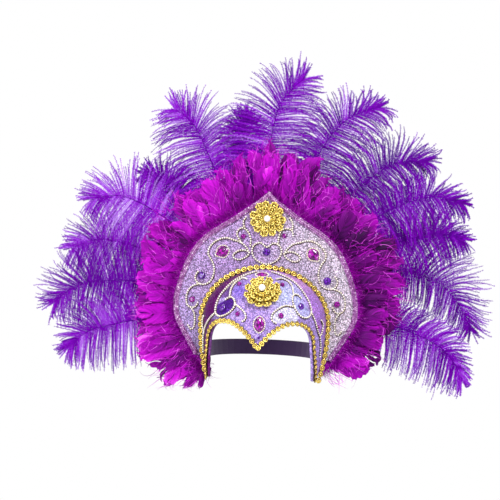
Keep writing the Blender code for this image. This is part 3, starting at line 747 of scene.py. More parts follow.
def bead_material(name, stops, roughness, coat):
    """Small beads, each in its own tone."""
    made, _ = toned_material(name, stops, 900.0, 1.0, 0.2, roughness,
                             Coat_Weight=coat, Coat_Roughness=0.06, Specular_IOR_Level=0.6)
    return made


def stone_material(name, stops):
    """Foil-backed cut stone: each facet is painted its own brightness, from dark to a near-white glint, as
    painted reflections.
    """
    made, _ = toned_material(name, stops, 450.0, 1.0, 0.3, 0.05,
                             Coat_Weight=0.35, Coat_Roughness=0.02, Specular_IOR_Level=0.5)
    return made


def cloth_material(name, colour, scale, roughness):
    """Plain woven cloth or felt."""
    made = new_material(name, roughness, Sheen_Weight=0.3)
    inputs = {"Vector": object_place(made), "Scale": scale, "Distortion": 1.5}
    threads = [add_node(made, "ShaderNodeTexWave", inputs, bands_direction=axis).outputs["Fac"]
               for axis in ("X", "Z")]
    weave = math_node(made, "MULTIPLY", *threads)
    dark = tuple(0.55 * part for part in colour)
    colour_by(made, ramp(made, weave, [(0.0, dark), (1.0, colour)]))
    add_bump(made, weave, 0.4, 0.0004)
    return made


cap_cloth = glitter_material("cap_glitter_cloth", 760.0, 0.42, 0.55, 0.34)
panel_cloth = glitter_material("panel_glitter_cloth", 950.0, 0.14, 0.50, 0.40)
lining = cloth_material("violet_felt_lining", (0.10, 0.03, 0.18), 500.0, 0.9)
webbing = cloth_material("elastic_webbing", (0.09, 0.03, 0.16), 420.0, 0.8)
gold_cord = gold_material("gold_gimp_cord", (0.86, 0.64, 0.155), (0.11, 0.05, 0.006), 0.26, 700.0)
gold_cast = gold_material("gold_filigree", (0.92, 0.73, 0.22), (0.19, 0.10, 0.008), 0.27, 500.0)
# The two darkest stops colour the thread, a painted shadow line beside the beads
cream_bead = bead_material("cream_bead", [
    (0.0, (0.060, 0.022, 0.012)), (0.14, (0.075, 0.030, 0.015)), (0.45, (0.84, 0.72, 0.50)),
    (1.0, (1.0, 0.96, 0.88)),
], 0.25, 0.5)
white_pearl = bead_material("white_pearl", [
    (0.0, (0.80, 0.72, 0.62)), (0.5, (0.92, 0.89, 0.84)), (1.0, (1.0, 1.0, 1.0)),
], 0.18, 0.8)
pink_bead = bead_material("pink_seed_bead", [
    (0.0, (0.16, 0.02, 0.17)), (0.4, (0.40, 0.13, 0.42)), (0.8, (0.72, 0.42, 0.74)),
    (1.0, (0.96, 0.82, 0.96)),
], 0.22, 0.4)
# The lightest stop of each stone is a painted glint
stone_hues = {
    "magenta": stone_material("magenta_stone_cut", [
        (0.0, (0.025, 0.0, 0.03)), (0.45, (0.17, 0.0, 0.19)), (0.85, (0.55, 0.01, 0.52)),
        (1.0, (1.0, 0.70, 1.0)),
    ]),
    "violet": stone_material("violet_stone_cut", [
        (0.0, (0.012, 0.0, 0.05)), (0.45, (0.07, 0.0, 0.24)), (0.85, (0.22, 0.02, 0.62)),
        (1.0, (0.80, 0.72, 1.0)),
    ]),
}
goose = feather_material("goose_feather", [
    (0.0, (0.030, 0.0, 0.045)), (0.30, (0.12, 0.0, 0.155)), (0.60, (0.36, 0.0, 0.42)),
    (0.85, (0.62, 0.008, 0.66)), (1.0, (0.86, 0.14, 0.88)),
], 0.55, 0.04, 1200.0)
ostrich = feather_material("ostrich_feather_fibre", [
    (0.0, (0.070, 0.0, 0.22)), (0.30, (0.135, 0.0, 0.36)), (0.60, (0.225, 0.0, 0.52)),
    (0.82, (0.37, 0.05, 0.74)), (1.0, (0.60, 0.34, 0.90)),
], 0.90, 0.0, 900.0)


# Cloth of the cap and the panel

def inside(x, z, outline):
    """True where a point lies inside a closed outline of (x, z) points."""
    outline = np.asarray(outline)
    ends = np.roll(outline, -1, axis=0)
    found = np.zeros(np.shape(x), dtype=bool)
    for (x0, z0), (x1, z1) in zip(outline, ends):
        if z0 == z1:
            continue
        crosses = (z0 > z) != (z1 > z)
        found ^= crosses & (x < (x1 - x0) * (z - z0) / (z1 - z0) + x0)
    return found


def spot(x, z, centre, radii):
    """1 at a centre, fading to 0 at its radii."""
    away = np.hypot((x - centre[0]) / radii[0], (z - centre[1]) / radii[1])
    return eased(np.clip(1.0 - away, 0.0, 1.0))


def painted(colours, zones):
    """Colours with zones painted over them in turn, each a share at every point and a colour."""
    for share, colour in zones:
        share = np.asarray(share, dtype=float)[..., None]
        colours = colours * (1.0 - share) + np.asarray(colour) * share
    return colours


def sheet_piece(name, x, z, y, colours, material, slot, replaced, wall):
    """Cloth on a fine grid, with its wall and lining behind it."""
    gathered = Gathered()
    gathered.add(np.stack((x, y, z), axis=-1), grid_quads(*x.shape))
    opaque = np.concatenate((colours, np.ones((*x.shape, 1))), axis=-1)
    piece = gathered.piece(name, [material, lining], slot, replaced, colours=opaque)
    shell = piece.modifiers.new("wall", "SOLIDIFY")
    shell.thickness = wall
    shell.offset = -1.0
    shell.material_offset = 1
    shell.material_offset_rim = 0
    return piece


def in_metres(routes, on):
    """Routes given as shares of their piece, in metres."""
    wide, high = half_spans[on]
    return {label: [(across * wide, up * high) for across, up in route] for label, route in routes.items()}


def make_cap():
    right = in_metres(cap_scroll_right, "cap")
    left = in_metres(cap_scroll_left, "cap")
    up, across = np.meshgrid(np.linspace(0.0, 1.0, 70), np.linspace(0.0, 1.0, 221), indexing="ij")
    x, z = cap_grid(across, up)
    beyond_right = right["arch"][:9] + right["slim"][1:4] + right["tail"][1:]
    outer_right = [(0.0795, -0.1), (0.2, -0.1), (0.2, 0.2), (0.0, 0.2)]
    crescent = inside(x, z, [(0.0, 0.0705)] + beyond_right + outer_right)
    lobe = right["lobe"] + [(0.0500, 0.0000), (0.0520, 0.0150)]
    beyond_left = left["arch"][1:8] + left["tail"][1:]
    outer_left = [(-0.0660, -0.0500), (-0.0660, -0.1), (-0.2, -0.1), (-0.2, 0.2), (-0.0180, 0.2)]
    # The cap's left side beyond the arch, where it turns from the light
    dark = inside(x, z, beyond_left + outer_left)
    leg = (x < -0.0600) & (z < 0.004)
    left_shade_fade = np.clip((-x - 0.012) / 0.020, 0.0, 1.0)
    ground = np.broadcast_to(np.array((0.50, 0.36, 0.74)), (*x.shape, 3))
    colours = painted(ground, [
        # Painted highlight on the upper right of the cap
        (spot(x, z, (0.034, 0.040), (0.034, 0.030)), (0.60, 0.66, 0.95)),
        # Painted shade on the upper left of the cap
        (spot(x, z, (-0.030, 0.044), (0.024, 0.020)), (0.26, 0.16, 0.66)),
        (0.8 * spot(x, z, (-0.006, 0.010), (0.030, 0.026)), (0.46, 0.30, 0.72)),
        (crescent, (0.52, 0.26, 0.74)),
        # Painted highlight on the top of the right crescent
        (crescent * spot(x, z, (0.047, 0.060), (0.040, 0.036)), (0.78, 0.42, 0.82)),
        (0.8 * crescent * (z < -0.012), (0.40, 0.24, 0.74)),
        (0.85 * inside(x, z, right["arch"][8:]), (0.60, 0.62, 0.96)),
        (inside(x, z, lobe), (0.86, 0.84, 0.98)),
        # The left side and the left leg are painted dark as shade, where they turn from the light
        (dark * left_shade_fade, (0.125, 0.0, 0.125)),
        (leg * 0.85, (0.15, 0.004, 0.15)),
        (inside(x, z, left["arch"][6:]), (0.085, 0.012, 0.26)),
        (0.8 * inside(x, z, left["second"] + left["arch"][5:1:-1]), (0.12, 0.02, 0.20)),
    ])
    sheet_piece("cap_cloth", x, z, cap_y(x, z), colours, cap_cloth, "glitter_cap", ["front_cap"], cap_wall)


def make_panel():
    up, across = np.meshgrid(np.linspace(0.0, 1.0, 60), np.linspace(0.0, 1.0, 261), indexing="ij")
    along = 2.0 * across - 1.0
    inner_x, inner_z = arch_points(along, panel_drop, -cap_wall)
    outer_x, outer_z = outline_points(along)
    x = inner_x + (outer_x - inner_x) * up
    z = inner_z + (outer_z - inner_z) * up
    # Painted light: the cloth is painted darker violet on the left and lighter silver-pink on the right,
    # where the light falls
    right = np.clip((x + 0.02) / 0.09, 0.0, 1.0)[..., None]
    ground = np.array((0.52, 0.36, 0.62)) * (1.0 - right) + np.array((0.70, 0.61, 0.66)) * right
    colours = painted(ground, [
        # Painted shade on the far left
        (0.6 * spot(x, z, (-0.105, 0.0), (0.04, 0.07)), (0.38, 0.30, 0.56)),
        (0.6 * spot(x, z, (0.060, 0.075), (0.05, 0.03)), (0.54, 0.44, 0.58)),
        (0.6 * spot(x, z, (-0.055, 0.075), (0.06, 0.03)), (0.44, 0.28, 0.58)),
        # Painted highlight on the far right
        (0.6 * spot(x, z, (0.105, -0.01), (0.04, 0.05)), (0.76, 0.66, 0.68)),
        (0.7 * np.clip((up - 0.86) / 0.10, 0.0, 1.0), (0.56, 0.28, 0.62)),
    ])
    sheet_piece("panel_cloth", x, z, panel_y(x), colours, panel_cloth, "glitter_panel", ["back_panel"],
                panel_wall)


# Braids, bead strings and edging

def gimp_shell():
    """One scallop of gold gimp: a ribbed cord curled round a small button."""
    turns = around(18)
    ring = np.stack((0.68 * np.cos(turns), 0.70 * np.sin(turns), 0.06 + 0.10 * np.cos(turns)), axis=1)
    thick = 0.27 * (1.0 + 0.16 * np.cos(9.0 * turns))
    cord = sweep(ring, thick, 6, closed=True, facing=(0.0, 0.0, 1.0))
    button = ball(8, 6)
    points = np.concatenate((cord[0], button[0] * (0.36, 0.38, 0.38) + (0.0, 0.0, 0.20)))
    return points, np.concatenate((cord[1], button[1] + len(cord[0])))


def gimp_piece(name, path, outs, pitch, replaced):
    """Scalloped gold braid along a path: a tape, with a curled shell on each bump."""
    gathered = Gathered()
    rng = np.random.default_rng(11)
    both = evenly(np.concatenate((path, outs), axis=1), pitch / 2.0)
    places = both[:, :3]
    outs = unit(both[:, 3:])
    heading = unit(np.gradient(places, axis=0))
    # The tape under the shells takes the darkest tone, painted shade in the gaps between them
    gathered.add(*sweep(places - outs * braid_radius * 0.55, braid_radius * 0.42, 6), tone=0.0)
    bumps = np.arange(0, len(places), 2)
    lean = unit(outs[bumps] + 0.25 * heading[bumps] + rng.normal(0.0, 0.06, (len(bumps), 3)))
    shell_radius = braid_radius * gimp_spread
    seats = places[bumps] - outs[bumps] * braid_radius * 0.25
    points, faces = gimp_shell()
    # Painted light: each shell is painted lighter towards its top as a highlight and darker towards its rim
    # as shade
    reach = np.clip((np.hypot(points[:, 0], points[:, 1]) - 0.55) / 0.45, 0.0, 1.0)
    shade = np.clip(0.34 + 1.55 * points[:, 2] - 0.50 * reach, 0.0, 1.0)
    tone = np.tile(shade, len(bumps)) + np.repeat(rng.normal(0.0, 0.06, len(bumps)), len(points))
    stretched = points * (1.0, 0.54 * pitch / shell_radius, 1.0)
    gathered.add(*copies((stretched, faces), frames(seats, lean, heading[bumps], shell_radius)), tone)
    # The links between the shells take a dark tone, painted shade in the gaps
    gaps = np.arange(1, len(places), 2)
    seats = places[gaps] - outs[gaps] * braid_radius * 0.45
    links = frames(seats, outs[gaps], heading[gaps], braid_radius * 0.42)
    gathered.add(*copies(ball(8, 6), links), tone=0.25)
    gathered.piece(name, [gold_cord], "gold_braid", replaced)


def make_braids():
    share = np.linspace(0.0, 1.0, 801)
    x, z = arch_points(2.0 * share - 1.0, cap_drop, braid_radius + clearance)
    path, outs = lifted("panel", x, z, braid_radius + clearance)
    gimp_piece("gimp_braid_outer", path, outs, outer_gimp_pitch, ["outer_braid"])
    edge_x, edge_z = cap_grid(share, np.zeros_like(share))
    rim_x, rim_z = cap_grid(share, np.ones_like(share))
    inset = brow_braid_inset / (np.hypot(rim_x - edge_x, rim_z - edge_z) + brow_braid_inset)
    x = edge_x + (rim_x - edge_x) * inset
    z = edge_z + (rim_z - edge_z) * inset
    x = np.copysign(np.maximum(np.abs(x), 0.0005), share - 0.5)
    path, outs = lifted("cap", x, z, braid_radius + clearance)
    gimp_piece("gimp_braid_brow", path, outs, brow_gimp_pitch, ["brow_braid"])


def string_piece(name, routes, on, replaced, seed):
    """Strings of round beads along the routes of one scroll, on a thin dark thread set off to one side as a
    painted shadow line.
    """
    rng = np.random.default_rng(seed)
    gathered = Gathered()
    bead = ball(8, 6)
    for label, route in in_metres(routes, on).items():
        closed = label in closed_routes
        flat = dense_route(route, closed)
        path, outs = lifted(on, flat[:, 0], flat[:, 1], seen_bead_radius + clearance)
        both = evenly(np.concatenate((path, outs), axis=1), bead_pitch, closed)
        places = both[:, :3]
        outs = both[:, 3:]
        sizes = seen_bead_radius * rng.uniform(0.94, 1.04, len(places))
        ups = np.tile(bead_pole, (len(places), 1))
        tone = np.repeat(rng.uniform(0.60, 1.0, len(places)), len(bead[0]))
        gathered.add(*copies(bead, frames(places, outs, ups, sizes)), tone)
        below = places - unit(outs) * (seen_bead_radius - shadow_thread_radius * 0.5)
        # The thread takes the darkest tone: a painted shadow line beside the beads
        gathered.add(*sweep(below + shadow_thread_offset, shadow_thread_radius, 5, closed), tone=0.0)
    gathered.piece(name, [cream_bead], "bead_pearl", replaced)


def make_strings():
    mirrored = {label: [(-across, up) for across, up in route] for label, route in side_scroll.items()}
    string_piece("beads_panel_right", side_scroll, "panel", ["scroll_panel_right"], 21)
    string_piece("beads_panel_left", {**mirrored, **left_extra}, "panel", ["scroll_panel_left"], 22)
    string_piece("beads_heart", heart_scroll, "panel", ["scroll_heart"], 23)
    string_piece("beads_cap_right", cap_scroll_right, "cap", ["scroll_cap_right"], 24)
    string_piece("beads_cap_left", cap_scroll_left, "cap", ["scroll_cap_left"], 25)


def make_edging():
    """Rows of seed beads slanted over a rolled edge."""
    rng = np.random.default_rng(31)
    share = np.linspace(0.0, 1.0, 1201)
    x, z = outline_points(2.0 * share - 1.0)
    path = evenly(np.stack((x, z), axis=1), seed_pitch)
    heading = unit(np.gradient(path, axis=0))
    outward = np.stack((-heading[:, 1], heading[:, 0]), axis=1)
    centre = path - outward * trim_radius
    base_y = panel_y(centre[:, 0])
    gathered = Gathered()
    core = np.stack((centre[:, 0], base_y - 0.0019, centre[:, 1]), axis=1)
    gathered.add(*sweep(core, 0.0020, 8), tone=0.12)
    bead = ball(7, 5)
    ups = np.stack((heading[:, 0], np.zeros(len(heading)), heading[:, 1]), axis=1)
    for row in range(seed_rows):
        lean = math.radians(-88.0 + 176.0 * row / (seed_rows - 1))
        across = 0.0028 * math.sin(lean)
        up = 0.0012 + 0.0020 * math.cos(lean)
        spots = centre + outward * across + heading * 0.55 * across
        places = np.stack((spots[:, 0], base_y - up, spots[:, 1]), axis=1)
        sideways = outward * math.sin(lean)
        outs = np.stack((sideways[:, 0], np.full(len(spots), -math.cos(lean)), sideways[:, 1]), axis=1)
        sizes = seed_radius * rng.uniform(0.88, 1.08, len(spots))
        tone = np.clip(rng.normal(0.38, 0.28, len(spots)), 0.02, 1.0)
        gathered.add(*copies(bead, frames(places, outs, ups, sizes)), np.repeat(tone, len(bead[0])))
    gathered.piece("seed_bead_edging", [pink_bead], "bead_edging", ["edge_trim"])


# Brooches

def petal_shape(ribs):
    """A filigree petal of unit length along +Y: a wire rim, inner wires, a thin leaf and grains."""
    made = Gathered()
    facing = (0.0, 0.0, 1.0)
    turns = around(24)
    width = 0.40 * np.sin(turns) * (0.75 + 0.25 * np.cos(turns + math.pi))
    length = 0.52 - 0.46 * np.cos(turns)
    # The wire rim, the inner wires and the grains are painted lighter, as highlights
    rim = np.stack((width, length, 0.16 * length ** 2 + 0.04), axis=1)
    made.add(*sweep(rim, 0.065, 6, closed=True, facing=facing), tone=0.85)
    share = np.linspace(0.05, 0.90, 6)
    for index in range(ribs):
        spread = (index - (ribs - 1) / 2.0) * 0.42
        sideways = 0.30 * spread * np.sin(share * math.pi * 0.8) * 2.0
        rib = np.stack((sideways, share, 0.16 * share ** 2 + 0.05), axis=1)
        made.add(*sweep(rib, 0.045, 5, facing=facing), tone=0.75)
    # The thin leaf, low between the wires, is painted dark as shade
    edge = np.stack((width * 0.95, length, 0.16 * length ** 2), axis=1)
    leaf = np.concatenate((edge, [(0.0, 0.5, 0.0)]))
    ring = np.arange(24)
    made.add(leaf, np.stack((ring, np.roll(ring, -1), np.full(24, 24)), axis=1), tone=0.15)
    grain = ball(8, 6)
    for across, along in ((0.0, 0.98), (-0.26, 0.86), (0.26, 0.86), (0.0, 0.66)):
        made.add(grain[0] * 0.125 + (across, along, 0.16 * along ** 2 + 0.10), grain[1], tone=0.95)
    return made


def brooch_piece(name, pearl_name, place, outward, radius, replaced, pearl_replaced, seed):
    """Three tiers of filigree petals and rings of grains round a pearl."""
    rng = np.random.default_rng(seed)
    gathered = Gathered()
    outward = np.asarray(outward)
    right = unit(np.cross((0.0, 0.0, 1.0), outward))
    rise = np.cross(outward, right)
    petal = petal_shape(3)
    shape = (np.concatenate(petal.points), np.concatenate(petal.faces))
    shades = np.concatenate(petal.tones)

    def radial(turns):
        return np.cos(turns)[:, None] * right + np.sin(turns)[:, None] * rise

    for tier in brooch_tiers:
        turns = (np.arange(tier["petals"]) + tier["start"]) * 2.0 * math.pi / tier["petals"]
        away = radial(turns + rng.normal(0.0, 0.05, len(turns)))
        base = place + away * radius * tier["inner"] + outward * (clearance + brooch_height * tier["height"])
        tips = unit(away + outward * (tier["tilt"] + rng.normal(0.0, 0.06, (len(turns), 1))))
        outs = unit(outward - away * tier["tilt"])
        sizes = radius * tier["length"] * brooch_spread * rng.uniform(0.92, 1.0, len(turns))
        points, faces = copies(shape, frames(base, outs, tips, sizes))
        gathered.add(points, faces, np.tile(shades, len(turns)) * rng.uniform(0.8, 1.0))
    grain = ball(8, 6)
    for row in brooch_grains:
        count = row["grains"]
        away = radial(np.arange(count) * 2.0 * math.pi / count + rng.uniform(0.0, 1.0))
        places = place + away * radius * row["reach"] + outward * brooch_height * row["height"]
        outs = np.tile(outward, (count, 1))
        gathered.add(*copies(grain, frames(places, outs, away, row["size"])), tone=0.9)
    # The dish under the petals takes the darkest tone, as painted shade
    away = radial(around(36))
    dish = [place + away * radius * reach + outward * (clearance + brooch_height * height)
            for reach, height in ((0.0, 0.55), (0.35, 0.42), (0.62, 0.16), (0.84, 0.05))]
    here = np.arange(3)[:, None] * 36 + np.arange(36)
    beside = np.roll(here, -1, axis=1)
    quads = np.stack((here, beside, beside + 36, here + 36), axis=2)
    gathered.add(np.concatenate(dish), halved(quads.reshape(-1, 4)), tone=0.05)
    gathered.piece(name, [gold_cast], "gold_metal", [replaced])
    pearl = Gathered()
    lift = 2.0 * clearance + brooch_height * brooch_top + pearl_radius
    points, faces = ball(28, 18)
    pearl.add(points * pearl_radius + place + outward * lift, faces, tone=0.8)
    pearl.piece(pearl_name, [white_pearl], "pearl_white", [pearl_replaced])


def make_brooches():
    place, _ = lifted("panel", np.array([0.0]), np.array([upper_brooch_rise + upper_brooch_lift]), 0.0)
    brooch_piece("filigree_upper", "pearl_upper", place[0], (0.0, -1.0, 0.0), upper_brooch_radius,
                 "upper_brooch", "upper_pearl", 41)
    x, z = cap_grid(np.array([0.5]), np.array([front_brooch_share]))
    place, outs = lifted("cap", x + front_brooch_shift, z, 0.0)
    brooch_piece("filigree_front", "pearl_front", place[0], outs[0], front_brooch_radius,
                 "front_brooch", "front_pearl", 42)


# Stones

def stone_outline(form, turns):
    """Unit outline of a stone at each turn, 0 to the right and a quarter turn up."""
    x = np.cos(turns)
    y = np.sin(turns)
    if form == "drop":
        low = np.clip(-y, 0.0, 1.0)
        x = x * (1.0 - 0.75 * low ** 1.5)
    if form == "pointed":
        x = np.sign(x) * np.abs(x) ** 1.35
    return x, y


def stone_seat(row):
    """Where a stone lies, its outward direction and its own two axes."""
    wide, high = half_spans[row["on"]]
    place, outs = lifted(row["on"], np.array([row["across"] * wide]), np.array([row["up"] * high]), clearance)
    out = outs[0]
    right = unit(np.cross((0.0, 0.0, 1.0), out))
    rise = np.cross(out, right)
    lean = math.radians(row["turn"])
    local_x = right * math.cos(lean) + rise * math.sin(lean)
    local_y = rise * math.cos(lean) - right * math.sin(lean)
    return place[0], out, local_x, local_y


def stone_ring(row, seat, turns, reach, grow=0.0):
    """Points round a stone at a share of its size, set out by grow."""
    place, _, local_x, local_y = seat
    x, y = stone_outline(row["form"], turns)
    wide = row["wide"] * gem_spread * reach + grow
    tall = row["tall"] * gem_spread * reach + grow
    return place + local_x * (x * wide)[:, None] + local_y * (y * tall)[:, None]


def make_stone(row):
    """A cut stone: a girdle, a crown of kite and star facets and a flat table."""
    rng = np.random.default_rng(51 + stones.index(row))
    seat = stone_seat(row)
    out = seat[1]
    sides = 16 if row["wide"] > 0.004 else 12
    turns = around(sides)
    levels = [(1.0, 0.15 * setting_height, 0.0), (1.0, setting_height, 0.0), (0.80, 0.72 * stone_height, 0.5),
              (0.52, stone_height, 0.0)]
    rings = [stone_ring(row, seat, turns + shift * 2.0 * math.pi / sides, reach) + out * height
             for reach, height, shift in levels]
    facets = []
    for low, high in zip(rings[:-1], rings[1:]):
        low_next = np.roll(low, -1, axis=0)
        high_next = np.roll(high, -1, axis=0)
        facets.append(np.stack((low, low_next, high), axis=1))
        facets.append(np.stack((low_next, high_next, high), axis=1))
    top = rings[-1]
    middle = np.broadcast_to(top.mean(axis=0), top.shape)
    gathered = Gathered()
    # Each facet is painted a random brightness, a painted reflection from the foil
    tone = np.clip(rng.beta(1.3, 1.7, sum(len(part) for part in facets)), 0.02, 1.0)
    gathered.add_loose(np.concatenate(facets), np.repeat(tone, 3))
    # The table is painted lighter and darker in turn round its centre, a painted reflection
    tone = np.clip(0.45 + 0.35 * np.sin(turns * 2.0 + rng.uniform(0.0, 6.0)), 0.0, 1.0)
    gathered.add_loose(np.stack((top, np.roll(top, -1, axis=0), middle), axis=1), np.repeat(tone, 3))
    gathered.piece("gem_" + row["name"], [stone_hues[row["hue"]]], row["hue"] + "_stone",
                   ["stone_" + row["name"]], smooth=False)


def make_stones():
    rims = Gathered()
    bead = ball(8, 6)
    rng = np.random.default_rng(61)
    for row in stones:
        make_stone(row)
        if not row["rim"]:
            continue
        seat = stone_seat(row)
        _, out, _, local_y = seat
        loop = stone_ring(row, seat, np.linspace(0.0, 2.0 * math.pi, 181), 1.0, rim_bead_radius * 1.05)
        places = evenly(loop, rim_bead_radius * 2.35, closed=True) + out * rim_bead_radius * 1.15
        outs = np.tile(out, (len(places), 1))
        ups = np.tile(local_y, (len(places), 1))
        tone = np.repeat(rng.uniform(0.45, 0.95, len(places)), len(bead[0]))
        rims.add(*copies(bead, frames(places, outs, ups, rim_bead_radius)), tone)
    rims.piece("stone_rim_beads", [cream_bead], "bead_pearl", [])


# Feathers

def edge_table():
    """The panel's outline as angles round the fan's centre, rising, and radii."""
    x, z = outline_points(np.linspace(-1.0, 1.0, 801))
    angles = fan_angles(x, z)
    order = np.argsort(angles)
    return angles[order], np.hypot(x, z - fan_rise)[order]


edge_angles, edge_radii = edge_table()


def panel_edge_radius(degrees):
    """How far the panel reaches from the fan's centre at an angle."""
    return np.interp(degrees, edge_angles, edge_radii)


def puffed(points, depth, puff):
    """Points of the ruff at their depth: behind the panel inside its outline, swelling forward beyond it."""
    x = points[..., 0]
    z = points[..., 2]
    beyond = np.hypot(x, z - fan_rise) - panel_edge_radius(fan_angles(x, z)) - puff_start
    share = eased(np.clip(beyond / puff_reach, 0.0, 1.0))
    hidden = np.maximum(depth, 0.0) * (1.0 - share)
    moved = points.copy()
    moved[..., 1] = behind_panel(x) + ruff_seat + hidden + (depth + points[..., 1] - puff) * share
    moved[..., 2] = np.where(z < low_fringe, low_fringe + 0.5 * (z - low_fringe), z)
    return moved


def goose_feather(gathered, rng, base, heading, length, width, sweep_turn, depth, puff, tone):
    """A broad feather in the plane of the fan: fine barbs in split vanes on a curved shaft."""
    count = 36
    columns = 5
    along = np.linspace(0.04, 0.86, count)
    headings = heading + sweep_turn * along ** 1.5
    step = length * np.gradient(along)
    x = base[0] + np.cumsum(np.cos(headings) * step)
    z = base[1] + np.cumsum(np.sin(headings) * step)
    rise = rng.normal(0.0, 0.003)
    shaft = np.stack((x, rise * along ** 2, z), axis=1)
    forward = np.stack((np.cos(headings), np.zeros(count), np.sin(headings)), axis=1)
    fan = np.clip((along - 0.62) / 0.24, 0.0, 1.0)
    barb = width * (np.minimum(along / 0.22, 1.0) ** 0.6 * (1.0 - 0.40 * fan) + 0.10)
    opening = np.radians(62.0 - 14.0 * along - 44.0 * fan ** 1.6)
    share = np.linspace(0.0, 1.0, columns)
    tilt = rng.normal(0.0, 0.22)
    for side in (-1.0, 1.0):
        across = np.stack((-forward[:, 2], np.zeros(count), forward[:, 0]), axis=1) * side
        cuts = np.concatenate(([0], np.sort(rng.choice(np.arange(3, count - 2), 2, replace=False)), [count]))
        for first, last in zip(cuts[:-1], cuts[1:]):
            if last - first < 2:
                continue
            rows = np.arange(first, last)
            turn = rng.normal(0.0, 0.06)
            lift = rng.normal(0.0, 0.0010)
            within = (rows - first) / max(1, last - first - 1) * 2.0 - 1.0
            angle = opening[rows][:, None] - (0.50 * share + turn * share ** 2)[None, :]
            ragged = barb[rows] * (1.0 + rng.normal(0.0, 0.035, len(rows))) * (1.0 - 0.06 * within ** 2)
            far = ragged[:, None] * share[None, :]
            sideways = far * np.sin(angle)
            points = (shaft[rows][:, None]
                      + forward[rows][:, None] * (far * np.cos(angle))[..., None]
                      + across[rows][:, None] * sideways[..., None])
            points[..., 1] += 0.0028 * share[None, :] ** 2 + lift * share[None, :] + tilt * side * sideways
            shade = tone + rng.normal(0.0, 0.055, len(rows))[:, None] + 0.24 * share[None, :] - 0.12
            shade = shade + 0.30 * along[rows][:, None] - 0.20 + rng.normal(0.0, 0.05)
            gathered.add(puffed(points, depth, puff), halved(grid_quads(len(rows), columns)), shade.ravel())
    gathered.add(*sweep(puffed(shaft, depth - 0.0004, puff), 0.0005 * (1.15 - along), 4), tone=tone + 0.10)


def hairs(gathered, rng, roots, directions, lengths, width, tones, wander, droop, puff):
    """Fine curved filaments, each a narrow strip that tapers to a point."""
    steps = 5
    count = len(roots)
    points = np.zeros((count, steps + 1, 3))
    points[:, 0] = roots
    heading = unit(directions)
    swerve = rng.normal(0.0, wander, (count, 3))
    for step in range(steps):
        share = (step + 0.5) / steps
        heading = unit(heading + swerve * share + down * droop * share)
        points[:, step + 1] = points[:, step] + heading * (lengths / steps)[:, None]
    ahead = np.gradient(points, axis=1)
    side = unit(np.cross(ahead, np.array((0.0, -1.0, 0.0)) + rng.normal(0.0, 0.3, (count, 1, 3))))
    taper = np.linspace(1.0, 0.15, steps + 1)[None, :, None] * width / 2.0
    strip = puffed(np.stack((points - side * taper, points + side * taper), axis=2), 0.0, puff)
    gathered.add(strip, ribbons(count, steps), np.repeat(tones, 2 * (steps + 1)))


def outward_rays(rng, degrees, lean, scatter):
    """Directions away from the fan's centre, each a little astray."""
    count = len(degrees)
    turned = np.radians(degrees)
    rays = np.stack((np.cos(turned), rng.normal(lean, 0.2, count), np.sin(turned)), axis=1)
    return rays + rng.normal(0.0, scatter, (count, 3)) * (1.0, 0.3, 1.0)


def ruff_feather(gathered, rng, row, at):
    """One feather of the ruff at an angle round the fan's centre."""
    at = min(max(at, ruff_start + ruff_start_gap), ruff_end - ruff_end_gap)
    outer = table_value(ruff_edge, "at", "reach", at) * fan_reach
    start = float(panel_edge_radius(at)) - feather_tuck
    length = max((outer - start) * row["reach"] * (1.0 + rng.normal(0.02, 0.07)), shortest_feather)
    turned = math.radians(at)
    base = (start * math.cos(turned), fan_rise + start * math.sin(turned))
    heading = turned + rng.normal(0.0, 0.26)
    turn = rng.normal(0.0, 0.40)
    width = row["width"] * rng.uniform(0.8, 1.2)
    if at > narrow_above or at < narrow_below:
        width *= narrow_share
        heading += rng.normal(0.0, 0.25)
    # Feathers on the right side are painted darker, as shade
    shade = row["tone"] + rng.normal(0.0, 0.12) - 0.26 * max(0.0, math.cos(turned))
    if at < opened_below:
        heading = turned + 0.12 + abs(heading - turned)
        turn = abs(turn)
        shade += 0.18
    depth = row["depth"] + rng.uniform(0.0, 0.0012)
    puff = row["puff"] * rng.uniform(0.6, 1.3)
    goose_feather(gathered, rng, base, heading - turn / 2.0, length, width, turn, depth, puff, shade)


def ruff_hairs(gathered, rng, first, span):
    """Short hairs over the panel's edge, and longer strays among the feathers."""
    count = short_hairs
    at = first + span * rng.uniform(0.0, 1.0, count)
    roots = fan_points(panel_edge_radius(at) - hair_tuck, at, rng.uniform(-0.003, 0.0, count))
    rays = outward_rays(rng, at, -0.15, 0.40)
    shades = np.clip(rng.normal(0.48, 0.16, count), 0.05, 0.85)
    shades = np.where(rng.uniform(size=count) < 0.05, 1.0, shades)
    lengths = rng.uniform(0.008, 0.021, count)
    hairs(gathered, rng, roots, rays, lengths, 0.0006, shades, 0.5, 0.05, hair_puff)
    count = long_hairs
    at = first + span * rng.uniform(0.0, 1.0, count)
    outer = table_values(ruff_edge, "at", "reach", np.clip(at, ruff_start, ruff_end)) * fan_reach
    radius = outer * rng.uniform(0.70, 0.98, count)
    roots = fan_points(radius, at, rng.uniform(-0.003, 0.004, count))
    rays = outward_rays(rng, at, 0.0, 0.45)
    lengths = rng.uniform(0.012, 0.032, count)
    hairs(gathered, rng, roots, rays, lengths, 0.0007, rng.uniform(0.45, 1.0, count), 0.6, 0.1, hair_puff)


def make_ruff():
    span = (ruff_end - ruff_start) / ruff_sections
    for section in range(ruff_sections):
        rng = np.random.default_rng(70 + section)
        gathered = Gathered()
        first = ruff_start + span * section
        for row in ruff_rows:
            count = round(span / row["every"])
            for index in range(count):
                ruff_feather(gathered, rng, row, first + span * (index + 0.5) / count + rng.normal(0.0, 1.2))
        ruff_hairs(gathered, rng, first, span)
        number = section + 1
        gathered.piece("goose_feathers_%d" % number, [goose], "ruff_feather", ["ruff_%d" % number])


